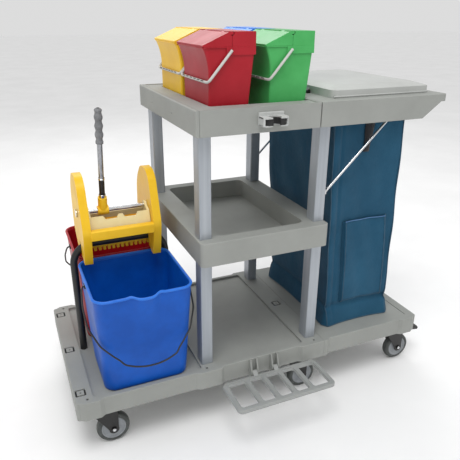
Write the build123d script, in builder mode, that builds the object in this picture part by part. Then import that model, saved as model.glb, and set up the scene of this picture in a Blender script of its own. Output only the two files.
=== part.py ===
from build123d import *
import os
from math import cos, radians, sin, sqrt

# Housekeeping cart: a long moulded deck on six casters carries a mopping station at the left,
# a four-post shelf stack in the middle and a framed fabric waste bag at the right.
# X runs along the deck from its left end, Y from its front face to its back, Z up from the floor.
# The pieces are drawn in that frame and then stood with the middle of the footprint at the origin.

# ---- fits ----
seat_gap = 0.3  # a piece dropped into a moulded seat
running_gap = 0.05  # radial, a pin turning in its bore
soft_gap = 0.3  # cloth beside a hard neighbour
loose_gap = 0.5  # radial, a wire or a big collar hanging in its hole

# ---- deck ----
deck_length = 1200.0
deck_depth = 550.0
deck_top = 205.0
deck_skirt = 60.0
deck_panel = 6.0
deck_recess = 8.0
seam_x = 806.0
seam_gap = 0.8
corner_radius = 8.0
lobe_out = 8.0
lobe_slope = 12.0
bay_edge = 14.0
left_bay = (50.0, 380.0)
middle_bay = (428.0, 735.0)
socket_size = 30.0
socket_island = 20.0
socket_depth = 6.0
lobe_hole_radius = 4.0
lobe_hole_depth = 14.0
clip_pitch_x = (545.0, 618.0)
clip_out = 19.0
clip_rib = 5.0
clip_slot = 16.0

# ---- casters ----
wheel_radius = 50.0
wheel_width = 28.0
hub_radius = 37.0
axle_radius = 5.0
axle_trail = 25.0
caster_inset = 54.0
caster_x = (78.0, 733.0, deck_length - 53.0)
plate_length = 92.0
plate_width = 72.0
plate_thick = 4.0
race_radius = 28.0
race_height = 9.0
kingpin_radius = 6.0
fork_sheet = 3.0
pedal_length = 80.0
pedal_drop = 14.0

# ---- posts and stay rods ----
post_x = 36.0
post_y = 44.0
post_wall = 2.5
post_corner = 4.0
post_left_x = 386.0
post_right_x = 754.0
post_front_y = 30.0
post_sink = 40.0
stay_radius = 4.0
stay_inset = 12.0
stay_low = 712.0
stay_reach = 210.0

# ---- middle shelf ----
shelf_x = (379.0, 792.0)
shelf_z = (553.0, 625.0)
shelf_bay_x = (443.0, 727.0)
shelf_bay_y = (40.0, deck_depth - 38.0)
shelf_floor = 565.0
shelf_panel = 6.0
shelf_wall = 6.0

# ---- top tray ----
tray_x = (379.0, 735.0)
tray_z = (920.0, 988.0)
tray_bay_x = (430.0, 729.0)
tray_bay_y = (60.0, deck_depth - 50.0)
tray_floor = 945.0
tray_panel = 5.0
end_cap_thick = 10.0
clip_mid_x = 577.5
clip_z = (943.0, 973.0)
clip_arm_z = (943.0, 964.0)
clip_width = 67.0
clip_reach = 42.0
grip_radius = 14.0

# ---- bag frame, lid and bag ----
bag_frame_x = (737.0, 1184.0)
bag_hole_x = (812.0, 1088.0)
bag_hole_y = (50.0, deck_depth - 50.0)
frame_slope_x = 1095.0
handle_x = 1160.0
handle_z = 967.0
lid_x = (803.0, 1155.0)
lid_y = (50.0, deck_depth - 45.0)
lid_edge = 21.0
lid_dome = 10.0
lid_wall = 3.0
lid_hinge_x = 796.0
lid_hinge_rise = 7.0
lid_hinge_y = (deck_depth / 2 - 85.0, deck_depth / 2 + 85.0)
lid_pin_radius = 3.0
bag_foot_x = (860.0, 1115.0)
bag_foot_y = (70.0, deck_depth - 73.0)
bag_head_x = (818.0, 1080.0)
bag_head_y = (55.0, deck_depth - 64.0)
bag_head_z = 978.0
bag_wall = 2.0
pocket_x = (893.0, 1083.0)
pocket_z = (292.0, 588.0)
pocket_out = 17.0

# ---- small pails ----
pail_foot_x = (tray_bay_x[0] + 4.0, tray_bay_x[0] + 181.0)
pail_row_y = (tray_bay_y[0] + 113.0, tray_bay_y[1] - 100.0)
pail_foot = 112.0
pail_rim_right = 130.0
pail_lip = 17.0
pail_foot_width = 196.0
pail_rim_width = 210.0
pail_rim_z = 1131.0
pail_lid_z = 1168.0
pail_ridge = 63.0
pail_wall = 2.5
pail_flare = 0.6
bail_pivot = 61.0
bail_drop = 8.0
bail_reach = 103.0
bail_bar = 8.0
bail_thick = 5.0
pail_pin_radius = 3.0
knuckle_room = 6.2

# ---- mop buckets and their stand ----
mop_x = 215.0
mop_y = (130.0, deck_depth - 128.0)
mop_foot = (250.0, 214.0)
mop_head = (277.0, 279.0)
mop_rim = (286.0, 288.0)
mop_height = 318.0
mop_corner = 34.0
mop_wall = 3.5
mop_rim_band = 9.0
spout_radius = 40.0
spout_out = 16.0
wire_radius = 2.5
mop_bail_tilt = 42.0
mop_bail_drop = 262.0
mop_bail_bow = 160.0
stand_radius = 11.0
stand_legs = (mop_x - 149.0, mop_x + 139.0)
stand_top = 562.0
stand_bend = 62.0

# ---- wringer ----
stand_y = (mop_y[0] + mop_y[1]) / 2
wringer_x = (92.0, 323.0)
cheek_thick = 24.0
beam_y = (stand_y - 86.0, stand_y - 66.0)
beam_z = (stand_top + 40.0, stand_top + 68.0)
shaft_radius = 7.0
shaft_y = stand_y - 6.0
shaft_z = stand_top + 104.0
socket_x = 167.0
lever_radius = 7.5
lever_lean = 13.0
lever_top = 978.0
grip_outer = 12.0
grip_length = 102.0
tooth_count = 13

# ---- rack ----
rack_x = (430.0, 760.0)
rack_y = (-155.0, -20.5)
rack_z = (145.0, 156.5)
rack_axis_y = -13.0
rack_axis_z = 163.0
rack_pin_radius = 2.5
rack_rail = 14.0
rack_wide = 1.35

pieces = []


def keep(piece, label):
    """Label a finished sub-part and put it on the list of what is written."""
    piece.part.label = label
    pieces.append(piece.part)


def block(x, y, z, corner=0.0, mode=Mode.ADD):
    """Add or cut an upright block between x, y and z pairs, with its upright edges rounded."""
    with BuildSketch(Plane.XY.offset(z[0])) as outline:
        with Locations(((x[0] + x[1]) / 2, (y[0] + y[1]) / 2)):
            if corner:
                RectangleRounded(x[1] - x[0], y[1] - y[0], corner)
            else:
                Rectangle(x[1] - x[0], y[1] - y[0])
    extrude(outline.sketch, amount=z[1] - z[0], mode=mode)


def upright(x, y, z, radius, mode=Mode.ADD):
    """Add or cut an upright round bar."""
    with BuildSketch(Plane.XY.offset(z[0])) as outline:
        with Locations((x, y)):
            Circle(radius)
    extrude(outline.sketch, amount=z[1] - z[0], mode=mode)


def bar_x(x, y, z, radius, mode=Mode.ADD):
    """Add or cut a round bar that lies along X."""
    with BuildSketch(Plane.YZ.offset(x[0])) as outline:
        with Locations((y, z)):
            Circle(radius)
    extrude(outline.sketch, amount=x[1] - x[0], mode=mode)


def bar_y(x, y, z, radius, mode=Mode.ADD):
    """Add or cut a round bar that lies along Y."""
    with BuildSketch(Plane.XZ.offset(-y[1])) as outline:
        with Locations((x, z)):
            Circle(radius)
    extrude(outline.sketch, amount=y[1] - y[0], mode=mode)


def slab_y(points, y, corner=0.0, mode=Mode.ADD):
    """Add or cut an outline drawn in X and Z, running between the y pair."""
    with BuildSketch(Plane.XZ.offset(-y[1])) as outline:
        with BuildLine():
            Polyline(*points, close=True)
        make_face()
        if corner:
            fillet(outline.vertices(), corner)
    extrude(outline.sketch, amount=y[1] - y[0], mode=mode)


def slab_x(points, x, corner=0.0, mode=Mode.ADD):
    """Add or cut an outline drawn in Y and Z, running between the x pair."""
    with BuildSketch(Plane.YZ.offset(x[0])) as outline:
        with BuildLine():
            Polyline(*points, close=True)
        make_face()
        if corner:
            fillet(outline.vertices(), corner)
    extrude(outline.sketch, amount=x[1] - x[0], mode=mode)


def grow(pair, amount):
    """A pair of bounds moved apart by an amount at each end."""
    return (pair[0] - amount, pair[1] + amount)


# ---- places that several pieces share ----
deck_bottom = deck_top - deck_skirt
deck_floor = deck_top - deck_recess
post_rear_y = deck_depth - post_front_y - post_y
post_rows = ((post_front_y, post_front_y + post_y), (post_rear_y, post_rear_y + post_y))
post_columns = ((post_left_x, post_left_x + post_x), (post_right_x, post_right_x + post_x))
post_bottom = deck_top - post_sink
post_tops = tray_z[1] - 10.0
caster_y = (caster_inset, deck_depth - caster_inset)
plate_bottom = deck_bottom - plate_thick
race_bottom = plate_bottom - race_height
lobes_main = ((22.0, 66.0), (368.0, 436.0), (723.0, seam_x - seam_gap / 2))
lobes_end = ((seam_x + seam_gap / 2, seam_x + 14.0), (deck_length - 66.0, deck_length - 22.0))
deck_middle = deck_depth / 2


def deck_outline(x, lobes, left_round, right_round):
    """Plan of one deck moulding, with the lobes that swell from its long edges."""
    with BuildSketch(Plane.XY.offset(deck_bottom)) as outline:
        with Locations(((x[0] + x[1]) / 2, deck_depth / 2)):
            Rectangle(x[1] - x[0], deck_depth)
        if left_round:
            fillet(outline.vertices().sort_by(Axis.X)[:2], corner_radius)
        if right_round:
            fillet(outline.vertices().sort_by(Axis.X)[-2:], corner_radius)
        for lobe in lobes:
            ends = (max(lobe[0] - lobe_slope, x[0]), min(lobe[1] + lobe_slope, x[1]))
            for side in (-1, 1):
                edge = 0.0 if side < 0 else deck_depth
                with BuildLine():
                    Polyline(
                        (ends[0], edge - side * lobe_slope),
                        (ends[0], edge),
                        (lobe[0], edge + side * lobe_out),
                        (lobe[1], edge + side * lobe_out),
                        (ends[1], edge),
                        (ends[1], edge - side * lobe_slope),
                        close=True,
                    )
                make_face()
    return outline.sketch


def post_sockets(columns, z):
    """Cut the seats that the posts drop into."""
    for x in columns:
        for y in post_rows:
            block(grow(x, seat_gap), grow(y, seat_gap), z, post_corner, Mode.SUBTRACT)


def square_socket(x, y):
    """Cut a square ring, which leaves an island in the middle of a shallow socket."""
    with BuildSketch(Plane.XY.offset(deck_top)) as ring:
        with Locations((x, y)):
            RectangleRounded(socket_size, socket_size, 3.0)
            RectangleRounded(socket_island, socket_island, 2.0, mode=Mode.SUBTRACT)
    extrude(ring.sketch, amount=-socket_depth, mode=Mode.SUBTRACT)
    upright(x, y, (deck_top - socket_depth, deck_top), screw_hole, Mode.SUBTRACT)


screw_hole = 2.6
screw_head = 2.5
front_half = (8.0, deck_middle - 4.0)
rear_half = (deck_middle + 4.0, deck_depth - 8.0)
between_casters = (118.0, deck_depth - 118.0)
strip_sockets = (
    (20.0, 46.0),
    (20.0, deck_middle - 4.0),
    (20.0, deck_depth - 51.0),
    (772.0, deck_middle - 4.0),
)
lobe_holes_x = (34.0, 394.0, 776.0)
groove_width = 3.0

# ---- main deck moulding ----
with BuildPart() as deck_main:
    main_x = (0.0, seam_x - seam_gap / 2)
    extrude(deck_outline(main_x, lobes_main, True, False), amount=deck_skirt)
    top_rim = deck_main.faces().sort_by(Axis.Z)[-1].outer_wire().edges()
    fillet(top_rim.filter_by(lambda edge: edge.center().X < main_x[1] - 1.0), 2.5)
    block(left_bay, (bay_edge, deck_depth - bay_edge), (deck_floor, deck_top), 10.0, Mode.SUBTRACT)
    block(middle_bay, (bay_edge, deck_depth - bay_edge), (deck_floor, deck_top), 10.0, Mode.SUBTRACT)
    cavity_top = deck_floor - deck_panel
    for x, y in (
        ((132.0, 372.0), front_half),
        ((132.0, 372.0), rear_half),
        ((8.0, 124.0), between_casters),
        ((436.0, 675.0), front_half),
        ((436.0, 675.0), rear_half),
        ((683.0, 745.0), between_casters),
        ((380.0, 428.0), (84.0, deck_depth - 84.0)),
    ):
        block(x, y, (deck_bottom, cavity_top), 5.0, Mode.SUBTRACT)
    post_sockets(post_columns, (post_bottom, deck_top))
    for x, y in strip_sockets:
        square_socket(x, y)
    for x in lobe_holes_x:
        for y in (11.0, deck_depth - 11.0):
            upright(x, y, (deck_top - lobe_hole_depth, deck_top), lobe_hole_radius, Mode.SUBTRACT)
    for x in clip_pitch_x:
        for side in (-1, 1):
            near = x + side * (clip_slot / 2)
            rib = (min(near, near + side * clip_rib), max(near, near + side * clip_rib))
            front = (-clip_out, 1.0)
            slab_x(
                (
                    (front[1], deck_bottom),
                    (front[0] + 6.0, deck_bottom),
                    (front[0], rack_axis_z - 6.0),
                    (front[0], rack_axis_z + 6.0),
                    (-8.0, deck_top - 1.0),
                    (front[1], deck_top - 1.0),
                ),
                rib,
            )
    for x in clip_pitch_x:
        pin_span = (x - clip_slot, x + clip_slot)
        bar_x(pin_span, rack_axis_y, rack_axis_z, rack_pin_radius, Mode.SUBTRACT)
keep(deck_main, "deck_main")

# ---- end deck moulding ----
with BuildPart() as deck_end:
    end_x = (seam_x + seam_gap / 2, deck_length)
    extrude(deck_outline(end_x, lobes_end, False, True), amount=deck_skirt)
    top_rim = deck_end.faces().sort_by(Axis.Z)[-1].outer_wire().edges()
    fillet(top_rim.filter_by(lambda edge: edge.center().X > end_x[0] + 1.0), 2.5)
    for x, y in (
        ((815.0, deck_length - 115.0), front_half),
        ((815.0, deck_length - 115.0), rear_half),
        ((deck_length - 107.0, deck_length - 8.0), between_casters),
    ):
        block(x, y, (deck_bottom, deck_top - deck_panel), 5.0, Mode.SUBTRACT)
    groove_x = deck_length - 35.0
    block((groove_x, groove_x + groove_width), (20.0, deck_depth - 20.0), (deck_top - 4.0, deck_top),
          1.2, Mode.SUBTRACT)
keep(deck_end, "deck_end")

# ---- caster plates: a screwed plate with the upper half of the swivel race ----
with BuildPart() as caster_plates:
    for x in caster_x:
        for y in caster_y:
            block((x - plate_length / 2, x + plate_length / 2), (y - plate_width / 2, y + plate_width / 2),
                  (plate_bottom, deck_bottom), 8.0)
            upright(x, y, (race_bottom, plate_bottom), race_radius)
            upright(x, y, (race_bottom, deck_bottom), kingpin_radius + running_gap, Mode.SUBTRACT)
keep(caster_plates, "caster_plates")

fork_top = race_bottom - loose_gap
fork_half = wheel_width / 2 + 2.0
fork_ear = 15.0


def make_caster(x, y, name):
    """A pressed fork with its kingpin and axle, and the wheel that turns in it."""
    axle_x = x + axle_trail
    cheek_out = fork_half + fork_sheet
    with BuildPart() as fork:
        upright(x, y, (fork_top - fork_sheet, fork_top), race_radius)
        block((x - 26.0, axle_x + 8.0), (y - cheek_out, y + cheek_out),
              (fork_top - fork_sheet, fork_top), 6.0)
        for side in (-1, 1):
            inner = y + side * fork_half
            span = (min(inner, inner + side * fork_sheet), max(inner, inner + side * fork_sheet))
            with BuildSketch(Plane.XZ.offset(-span[1])) as cheek:
                with BuildLine():
                    Polyline(
                        (x - 26.0, fork_top),
                        (axle_x + 8.0, fork_top),
                        (axle_x + fork_ear, fork_top - 28.0),
                        (axle_x + fork_ear - 1.0, wheel_radius),
                        (axle_x - fork_ear + 1.0, wheel_radius),
                        (x - 26.0, fork_top - 22.0),
                        close=True,
                    )
                make_face()
                with Locations((axle_x, wheel_radius)):
                    Circle(fork_ear)
                    Circle(axle_radius, mode=Mode.SUBTRACT)
            extrude(cheek.sketch, amount=fork_sheet)
        upright(x, y, (fork_top - fork_sheet, deck_bottom - 1.0), kingpin_radius)
        bar_y(axle_x, (y - cheek_out - 4.0, y + cheek_out + 4.0), wheel_radius, axle_radius)
        for side in (-1, 1):
            nut = y + side * (cheek_out + 2.0)
            bar_y(axle_x, (nut - 2.0, nut + 2.0), wheel_radius, axle_radius + 3.0)
        if "brake" in name:
            bar_y(x + 34.0, (y - cheek_out, y + cheek_out), fork_top - 8.0, 3.0)
    keep(fork, "fork_" + name.replace("_brake", ""))

    with BuildPart() as wheel:
        with BuildSketch(Plane.XZ.offset(-y)) as tread:
            with Locations((axle_x, wheel_radius)):
                Circle(wheel_radius)
                Circle(hub_radius, mode=Mode.SUBTRACT)
        extrude(tread.sketch, amount=wheel_width / 2, both=True)
        rims = wheel.edges().filter_by(GeomType.CIRCLE)
        fillet(rims.filter_by(lambda edge: edge.radius > hub_radius + 1.0), 7.0)
    tread_part = wheel.part
    with BuildPart() as core:
        bar_y(axle_x, (y - wheel_width / 2 + 1.0, y + wheel_width / 2 - 1.0), wheel_radius, hub_radius)
        for side in (-1, 1):
            dish = y + side * (wheel_width / 2 - 3.0)
            with BuildSketch(Plane.XZ.offset(-dish)) as ring:
                with Locations((axle_x, wheel_radius)):
                    Circle(hub_radius - 5.0)
                    Circle(axle_radius + 6.0, mode=Mode.SUBTRACT)
            extrude(ring.sketch, amount=2.0, both=True, mode=Mode.SUBTRACT)
        bar_y(axle_x, (y - fork_half + 0.6, y + fork_half - 0.6), wheel_radius, axle_radius + 5.0)
        bar_y(axle_x, (y - fork_half, y + fork_half), wheel_radius, axle_radius + running_gap, Mode.SUBTRACT)
        add(tread_part)
    keep(core, "wheel_" + name.replace("_brake", ""))


caster_names = ("left", "middle", "right_brake")
for x, column in zip(caster_x, caster_names):
    for y, row in zip(caster_y, ("front", "rear")):
        make_caster(x, y, row + "_" + column)


def make_pedal(y, name):
    """A wheel lock pedal that hooks over the fork's cross pin and reaches past the deck's end."""
    pin_x = caster_x[-1] + 34.0
    pin_z = fork_top - 8.0
    half = fork_half - 1.0
    with BuildPart() as pedal:
        slab_y(
            (
                (pin_x - 8.0, pin_z - 17.0),
                (pin_x - 7.0, pin_z + 3.0),
                (pin_x + 10.0, pin_z + 4.0),
                (pin_x + pedal_length - 22.0, pin_z - pedal_drop + 10.0),
                (pin_x + pedal_length - 8.0, pin_z - pedal_drop + 14.0),
                (pin_x + pedal_length, pin_z - pedal_drop + 4.0),
                (pin_x + pedal_length - 4.0, pin_z - pedal_drop - 2.0),
                (pin_x + 12.0, pin_z - 6.0),
            ),
            (y - half, y + half),
        )
        block((pin_x + 24.0, pin_x + 60.0), (y - 7.0, y + 7.0), (pin_z - 30.0, pin_z + 20.0),
              4.0, Mode.SUBTRACT)
        bar_y(pin_x, (y - half, y + half), pin_z, 3.0 + running_gap, Mode.SUBTRACT)
    keep(pedal, "brake_pedal_" + name)


for y, row in zip(caster_y, ("front", "rear")):
    make_pedal(y, row)

# ---- posts: four rectangular aluminium tubes ----
for x, column in zip(post_columns, ("left", "right")):
    for y, row in zip(post_rows, ("front", "rear")):
        with BuildPart() as post:
            block(x, y, (post_bottom, post_tops), post_corner)
            block(grow(x, -post_wall), grow(y, -post_wall), (post_bottom, post_tops),
                  post_corner - post_wall, Mode.SUBTRACT)
        keep(post, "post_" + row + "_" + column)

# ---- middle shelf ----
with BuildPart() as mid_shelf:
    block(shelf_x, (0.0, deck_depth), shelf_z, 14.0)
    fillet(mid_shelf.faces().sort_by(Axis.Z)[-1].outer_wire().edges(), 3.0)
    block(shelf_bay_x, shelf_bay_y, (shelf_floor, shelf_z[1]), 22.0, Mode.SUBTRACT)
    hollow_z = (shelf_z[0], shelf_z[1] - shelf_panel)
    front_rim = (shelf_wall, shelf_bay_y[0] - shelf_wall)
    rear_rim = (shelf_bay_y[1] + shelf_wall, deck_depth - shelf_wall)
    between_posts = (post_front_y + post_y + 10.0, post_rear_y - 10.0)
    rim_cavities = (
        ((shelf_bay_x[0], shelf_bay_x[1]), front_rim),
        ((shelf_bay_x[0], shelf_bay_x[1]), rear_rim),
        ((shelf_x[0] + shelf_wall, shelf_bay_x[0] - shelf_wall), between_posts),
        ((shelf_bay_x[1] + shelf_wall, shelf_x[1] - shelf_wall), between_posts),
    )
    for x, y in rim_cavities:
        block(x, y, hollow_z, 4.0, Mode.SUBTRACT)
    block(grow(shelf_bay_x, -10.0), grow(shelf_bay_y, -10.0),
          (shelf_z[0], shelf_floor - shelf_panel), 12.0, Mode.SUBTRACT)
    post_sockets(post_columns, grow(shelf_z, 1.0))
keep(mid_shelf, "mid_shelf")

# ---- top tray ----
rim_step = 2.0
rim_bead = 7.0
with BuildPart() as top_tray:
    block(tray_x, (0.0, deck_depth), tray_z, 3.0)
    block(grow(tray_x, -rim_bead), (rim_bead, deck_depth - rim_bead),
          (tray_z[1] - rim_step, tray_z[1]), 4.0, Mode.SUBTRACT)
    block(tray_bay_x, tray_bay_y, (tray_floor, tray_z[1]), 8.0, Mode.SUBTRACT)
    tray_hollow = (tray_z[0], tray_z[1] - rim_step - tray_panel)
    beside_posts = (post_front_y + post_y + 8.0, post_rear_y - 8.0)
    for x, y in (
        ((tray_bay_x[0], tray_x[1] - 7.0), (7.0, tray_bay_y[0] - 7.0)),
        ((tray_bay_x[0], tray_x[1] - 7.0), (tray_bay_y[1] + 7.0, deck_depth - 7.0)),
        ((tray_x[0] + 6.0, tray_bay_x[0] - 6.0), beside_posts),
    ):
        block(x, y, tray_hollow, 4.0, Mode.SUBTRACT)
    block((tray_bay_x[0] + 4.0, tray_bay_x[1] - 4.0), grow(tray_bay_y, -4.0),
          (tray_z[0], tray_floor - tray_panel), 6.0, Mode.SUBTRACT)
    post_sockets(post_columns[:1], (tray_z[0] - 1.0, post_tops + seat_gap))
keep(top_tray, "top_tray")

cap_screws_y = (200.0, deck_depth - 150.0)
cap_screw_z = 950.0
with BuildPart() as tray_end_cap:
    block((tray_x[0] - end_cap_thick, tray_x[0]), (0.0, deck_depth), tray_z)
    outer_face = tray_end_cap.faces().sort_by(Axis.X)[0]
    fillet(outer_face.edges(), 4.0)
    chamfer(tray_end_cap.faces().sort_by(Axis.X)[-1].edges(), 1.2)
    for y in cap_screws_y:
        bar_x((tray_x[0] - end_cap_thick - 1.0, tray_x[0]), y, cap_screw_z, screw_hole, Mode.SUBTRACT)
keep(tray_end_cap, "tray_end_cap")

# ---- broom clip on the tray's front face ----
clip_span = (clip_mid_x - clip_width / 2, clip_mid_x + clip_width / 2)
clip_arm = 11.0
clip_eye_y = -25.0
with BuildPart() as clip_body:
    block(clip_span, (-7.0, 0.0), clip_z)
    for x in ((clip_span[0], clip_span[0] + clip_arm), (clip_span[1] - clip_arm, clip_span[1])):
        block(x, (-clip_reach + 6.0, -7.0), clip_arm_z)
    front_corners = clip_body.edges().filter_by(Axis.Z).group_by(Axis.Y)[0]
    fillet(front_corners, 4.0)
keep(clip_body, "clip_body")

with BuildPart() as clip_jaws:
    for side in (-1, 1):
        outer = clip_mid_x + side * (clip_width / 2 - clip_arm)
        inner = clip_mid_x + side * (grip_radius - 4.0)
        block((min(outer, inner), max(outer, inner)), (-clip_reach, -8.0), clip_arm_z)
    upright(clip_mid_x, clip_eye_y, clip_arm_z, grip_radius, Mode.SUBTRACT)
keep(clip_jaws, "clip_jaws")

# ---- bag frame ----
with BuildPart() as bag_frame:
    slab_y(
        (
            (bag_frame_x[0], tray_z[0]),
            (bag_frame_x[0], tray_z[1]),
            (bag_frame_x[1], tray_z[1]),
            (bag_frame_x[1], handle_z),
            (handle_x, handle_z),
            (frame_slope_x, tray_z[0]),
        ),
        (0.0, deck_depth),
    )
    right_end = bag_frame.edges().filter_by(Axis.Z).sort_by(Axis.X)[-2:]
    fillet(right_end, 16.0)
    block(bag_hole_x, bag_hole_y, grow(tray_z, 1.0), 12.0, Mode.SUBTRACT)
    for y in ((7.0, bag_hole_y[0] - 6.0), (bag_hole_y[1] + 6.0, deck_depth - 7.0)):
        block(bag_hole_x, y, (tray_z[0], tray_z[1] - 6.0), 3.0, Mode.SUBTRACT)
    block((bag_frame_x[0] + 6.0, bag_hole_x[0] - 6.0), beside_posts,
          (tray_z[0], tray_z[1] - 6.0), 4.0, Mode.SUBTRACT)
    post_sockets(post_columns[1:], (tray_z[0] - 1.0, post_tops + seat_gap))
    for y in lid_hinge_y:
        for side in (-1, 1):
            ear = y + side * 13.0
            slab_y(
                (
                    (lid_hinge_x - 6.0, tray_z[1] - 1.0),
                    (lid_hinge_x - 6.0, tray_z[1] + lid_hinge_rise + 3.0),
                    (lid_hinge_x - 3.0, tray_z[1] + lid_hinge_rise + 6.0),
                    (lid_hinge_x + 3.0, tray_z[1] + lid_hinge_rise + 6.0),
                    (lid_hinge_x + 6.0, tray_z[1] + lid_hinge_rise + 3.0),
                    (lid_hinge_x + 6.0, tray_z[1] - 1.0),
                ),
                (ear - 3.0, ear + 3.0),
            )
        bar_y(lid_hinge_x, (y - 20.0, y + 20.0), tray_z[1] + lid_hinge_rise, lid_pin_radius,
              Mode.SUBTRACT)
keep(bag_frame, "bag_frame")

# ---- bag lid: a shallow domed shell ----
lid_bottom = tray_z[1] + seat_gap
lid_mid = ((lid_x[0] + lid_x[1]) / 2, (lid_y[0] + lid_y[1]) / 2)


def lid_shell(inset, top):
    """A straight band with a low hipped dome on it, as one solid."""
    width = lid_x[1] - lid_x[0] - 2 * inset
    depth = lid_y[1] - lid_y[0] - 2 * inset
    shoulder = top - lid_dome
    with BuildPart() as solid:
        with BuildSketch(Plane.XY.offset(lid_bottom)):
            with Locations(lid_mid):
                RectangleRounded(width, depth, 22.0 - inset)
        extrude(amount=shoulder - lid_bottom)
        with BuildSketch(Plane.XY.offset(shoulder)):
            with Locations(lid_mid):
                RectangleRounded(width, depth, 22.0 - inset)
        with BuildSketch(Plane.XY.offset(top)):
            with Locations(lid_mid):
                RectangleRounded(width - 70.0, depth - 70.0, 22.0 - inset)
        loft()
    return solid.part


lid_top = lid_bottom + lid_edge + lid_dome
lid_outer = lid_shell(0.0, lid_top)
lid_inner = lid_shell(lid_wall, lid_top - lid_wall)
with BuildPart() as bag_lid:
    add(lid_outer)
    add(lid_inner, mode=Mode.SUBTRACT)
    for y in lid_hinge_y:
        slab_y(
            (
                (lid_x[0] + 2.0, tray_z[1] + lid_hinge_rise - 4.0),
                (lid_x[0] + 2.0, tray_z[1] + lid_hinge_rise + 6.0),
                (lid_hinge_x, tray_z[1] + lid_hinge_rise + 6.0),
                (lid_hinge_x, tray_z[1] + lid_hinge_rise - 5.0),
            ),
            (y - 9.5, y + 9.5),
        )
        bar_y(lid_hinge_x, (y - 9.5, y + 9.5), tray_z[1] + lid_hinge_rise, 6.0)
        bar_y(lid_hinge_x, (y - 9.5, y + 9.5), tray_z[1] + lid_hinge_rise,
              lid_pin_radius + running_gap, Mode.SUBTRACT)
keep(bag_lid, "bag_lid")

# ---- stay rods: from each right post up to the bag frame ----
stay_y = (post_front_y + stay_inset, deck_depth - post_front_y - stay_inset)
stay_start = post_right_x + post_x
with BuildPart() as stay_rods:
    for y in stay_y:
        low = Vector(stay_start + stay_radius, y, stay_low)
        high = Vector(stay_start + stay_reach, y, tray_z[0] - stay_radius)
        with BuildSketch(Plane(origin=low, z_dir=high - low)):
            Circle(stay_radius)
        extrude(amount=(high - low).length)
        block((stay_start, stay_start + 7.0), (y - 4.0, y + 4.0), (stay_low - 6.0, stay_low + 5.0))
        block((high.X - 6.0, high.X + 6.0), (y - 4.0, y + 4.0), (high.Z - 3.0, tray_z[0]))
keep(stay_rods, "stay_rods")

# ---- waste bag ----
bag_bottom = deck_top + soft_gap


def bag_loft(inset, z):
    """The bag's bulk between its foot on the deck and its head in the frame."""
    with BuildPart() as solid:
        for height, x, y in ((z[0], bag_foot_x, bag_foot_y), (z[1], bag_head_x, bag_head_y)):
            with BuildSketch(Plane.XY.offset(height)):
                with Locations(((x[0] + x[1]) / 2, (y[0] + y[1]) / 2)):
                    RectangleRounded(x[1] - x[0] - 2 * inset, y[1] - y[0] - 2 * inset, 14.0 - inset)
        loft()
    return solid.part


bag_outer = bag_loft(0.0, (bag_bottom, bag_head_z))
bag_inner = bag_loft(bag_wall, (bag_bottom + bag_wall, bag_head_z))
front_lean = (bag_foot_y[0] - bag_head_y[0]) / (bag_head_z - bag_bottom)
pocket_front = tuple(bag_foot_y[0] - front_lean * (z - bag_bottom) - pocket_out for z in pocket_z)
with BuildPart() as waste_bag:
    add(bag_outer)
    slab_x(
        (
            (pocket_front[0], pocket_z[0]),
            (pocket_front[1], pocket_z[1]),
            (pocket_front[1] + pocket_out + 3.0, pocket_z[1]),
            (pocket_front[0] + pocket_out + 3.0, pocket_z[0]),
        ),
        pocket_x,
    )
    slab_x(
        (
            (pocket_front[0] + bag_wall, pocket_z[0] + bag_wall),
            (pocket_front[1] + bag_wall, pocket_z[1] + 1.0),
            (pocket_front[1] + pocket_out, pocket_z[1] + 1.0),
            (pocket_front[0] + pocket_out, pocket_z[0] + bag_wall),
        ),
        grow(pocket_x, -bag_wall),
        mode=Mode.SUBTRACT,
    )
    add(bag_inner, mode=Mode.SUBTRACT)
keep(waste_bag, "waste_bag")

# ---- small lidded pails ----
pail_floor = tray_floor
pail_height = pail_rim_z - pail_floor
flare_z = pail_floor + pail_flare * pail_height


def pail_outline(x, inset, z):
    """Side view of a pail: upright back, and a front that flares out into the pouring lip."""
    left = x + inset
    slope = (pail_rim_right - pail_foot) / pail_height
    with BuildSketch(Plane.XZ) as side:
        with BuildLine():
            Line((left, z[0]), (left, flare_z))
            bulge = (x - pail_lip * 0.3 + inset, (flare_z + z[1]) / 2 + 6.0)
            ThreePointArc((left, flare_z), bulge, (x - pail_lip + inset, z[1]))
            Line((x - pail_lip + inset, z[1]), (x + pail_foot + slope * (z[1] - pail_floor) - inset, z[1]))
            Line((x + pail_foot + slope * (z[1] - pail_floor) - inset, z[1]), (x + pail_foot - inset, z[0]))
            Line((x + pail_foot - inset, z[0]), (left, z[0]))
        make_face()
    return side.sketch


def pail_solid(x, y, inset, z):
    """The pail's bulk: its side view crossed with its drafted end view."""
    with BuildPart() as solid:
        extrude(pail_outline(x, inset, z).moved(Location((0, y + pail_rim_width, 0))),
                amount=2 * pail_rim_width)
        foot = pail_foot_width / 2 - inset
        head = pail_rim_width / 2 - inset - 3.0
        slab_x(
            ((y - foot, z[0]), (y + foot, z[0]), (y + head, z[1]), (y - head, z[1])),
            (x - 2 * pail_foot, x + 2 * pail_foot),
            mode=Mode.INTERSECT,
        )
    return solid.part


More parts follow.
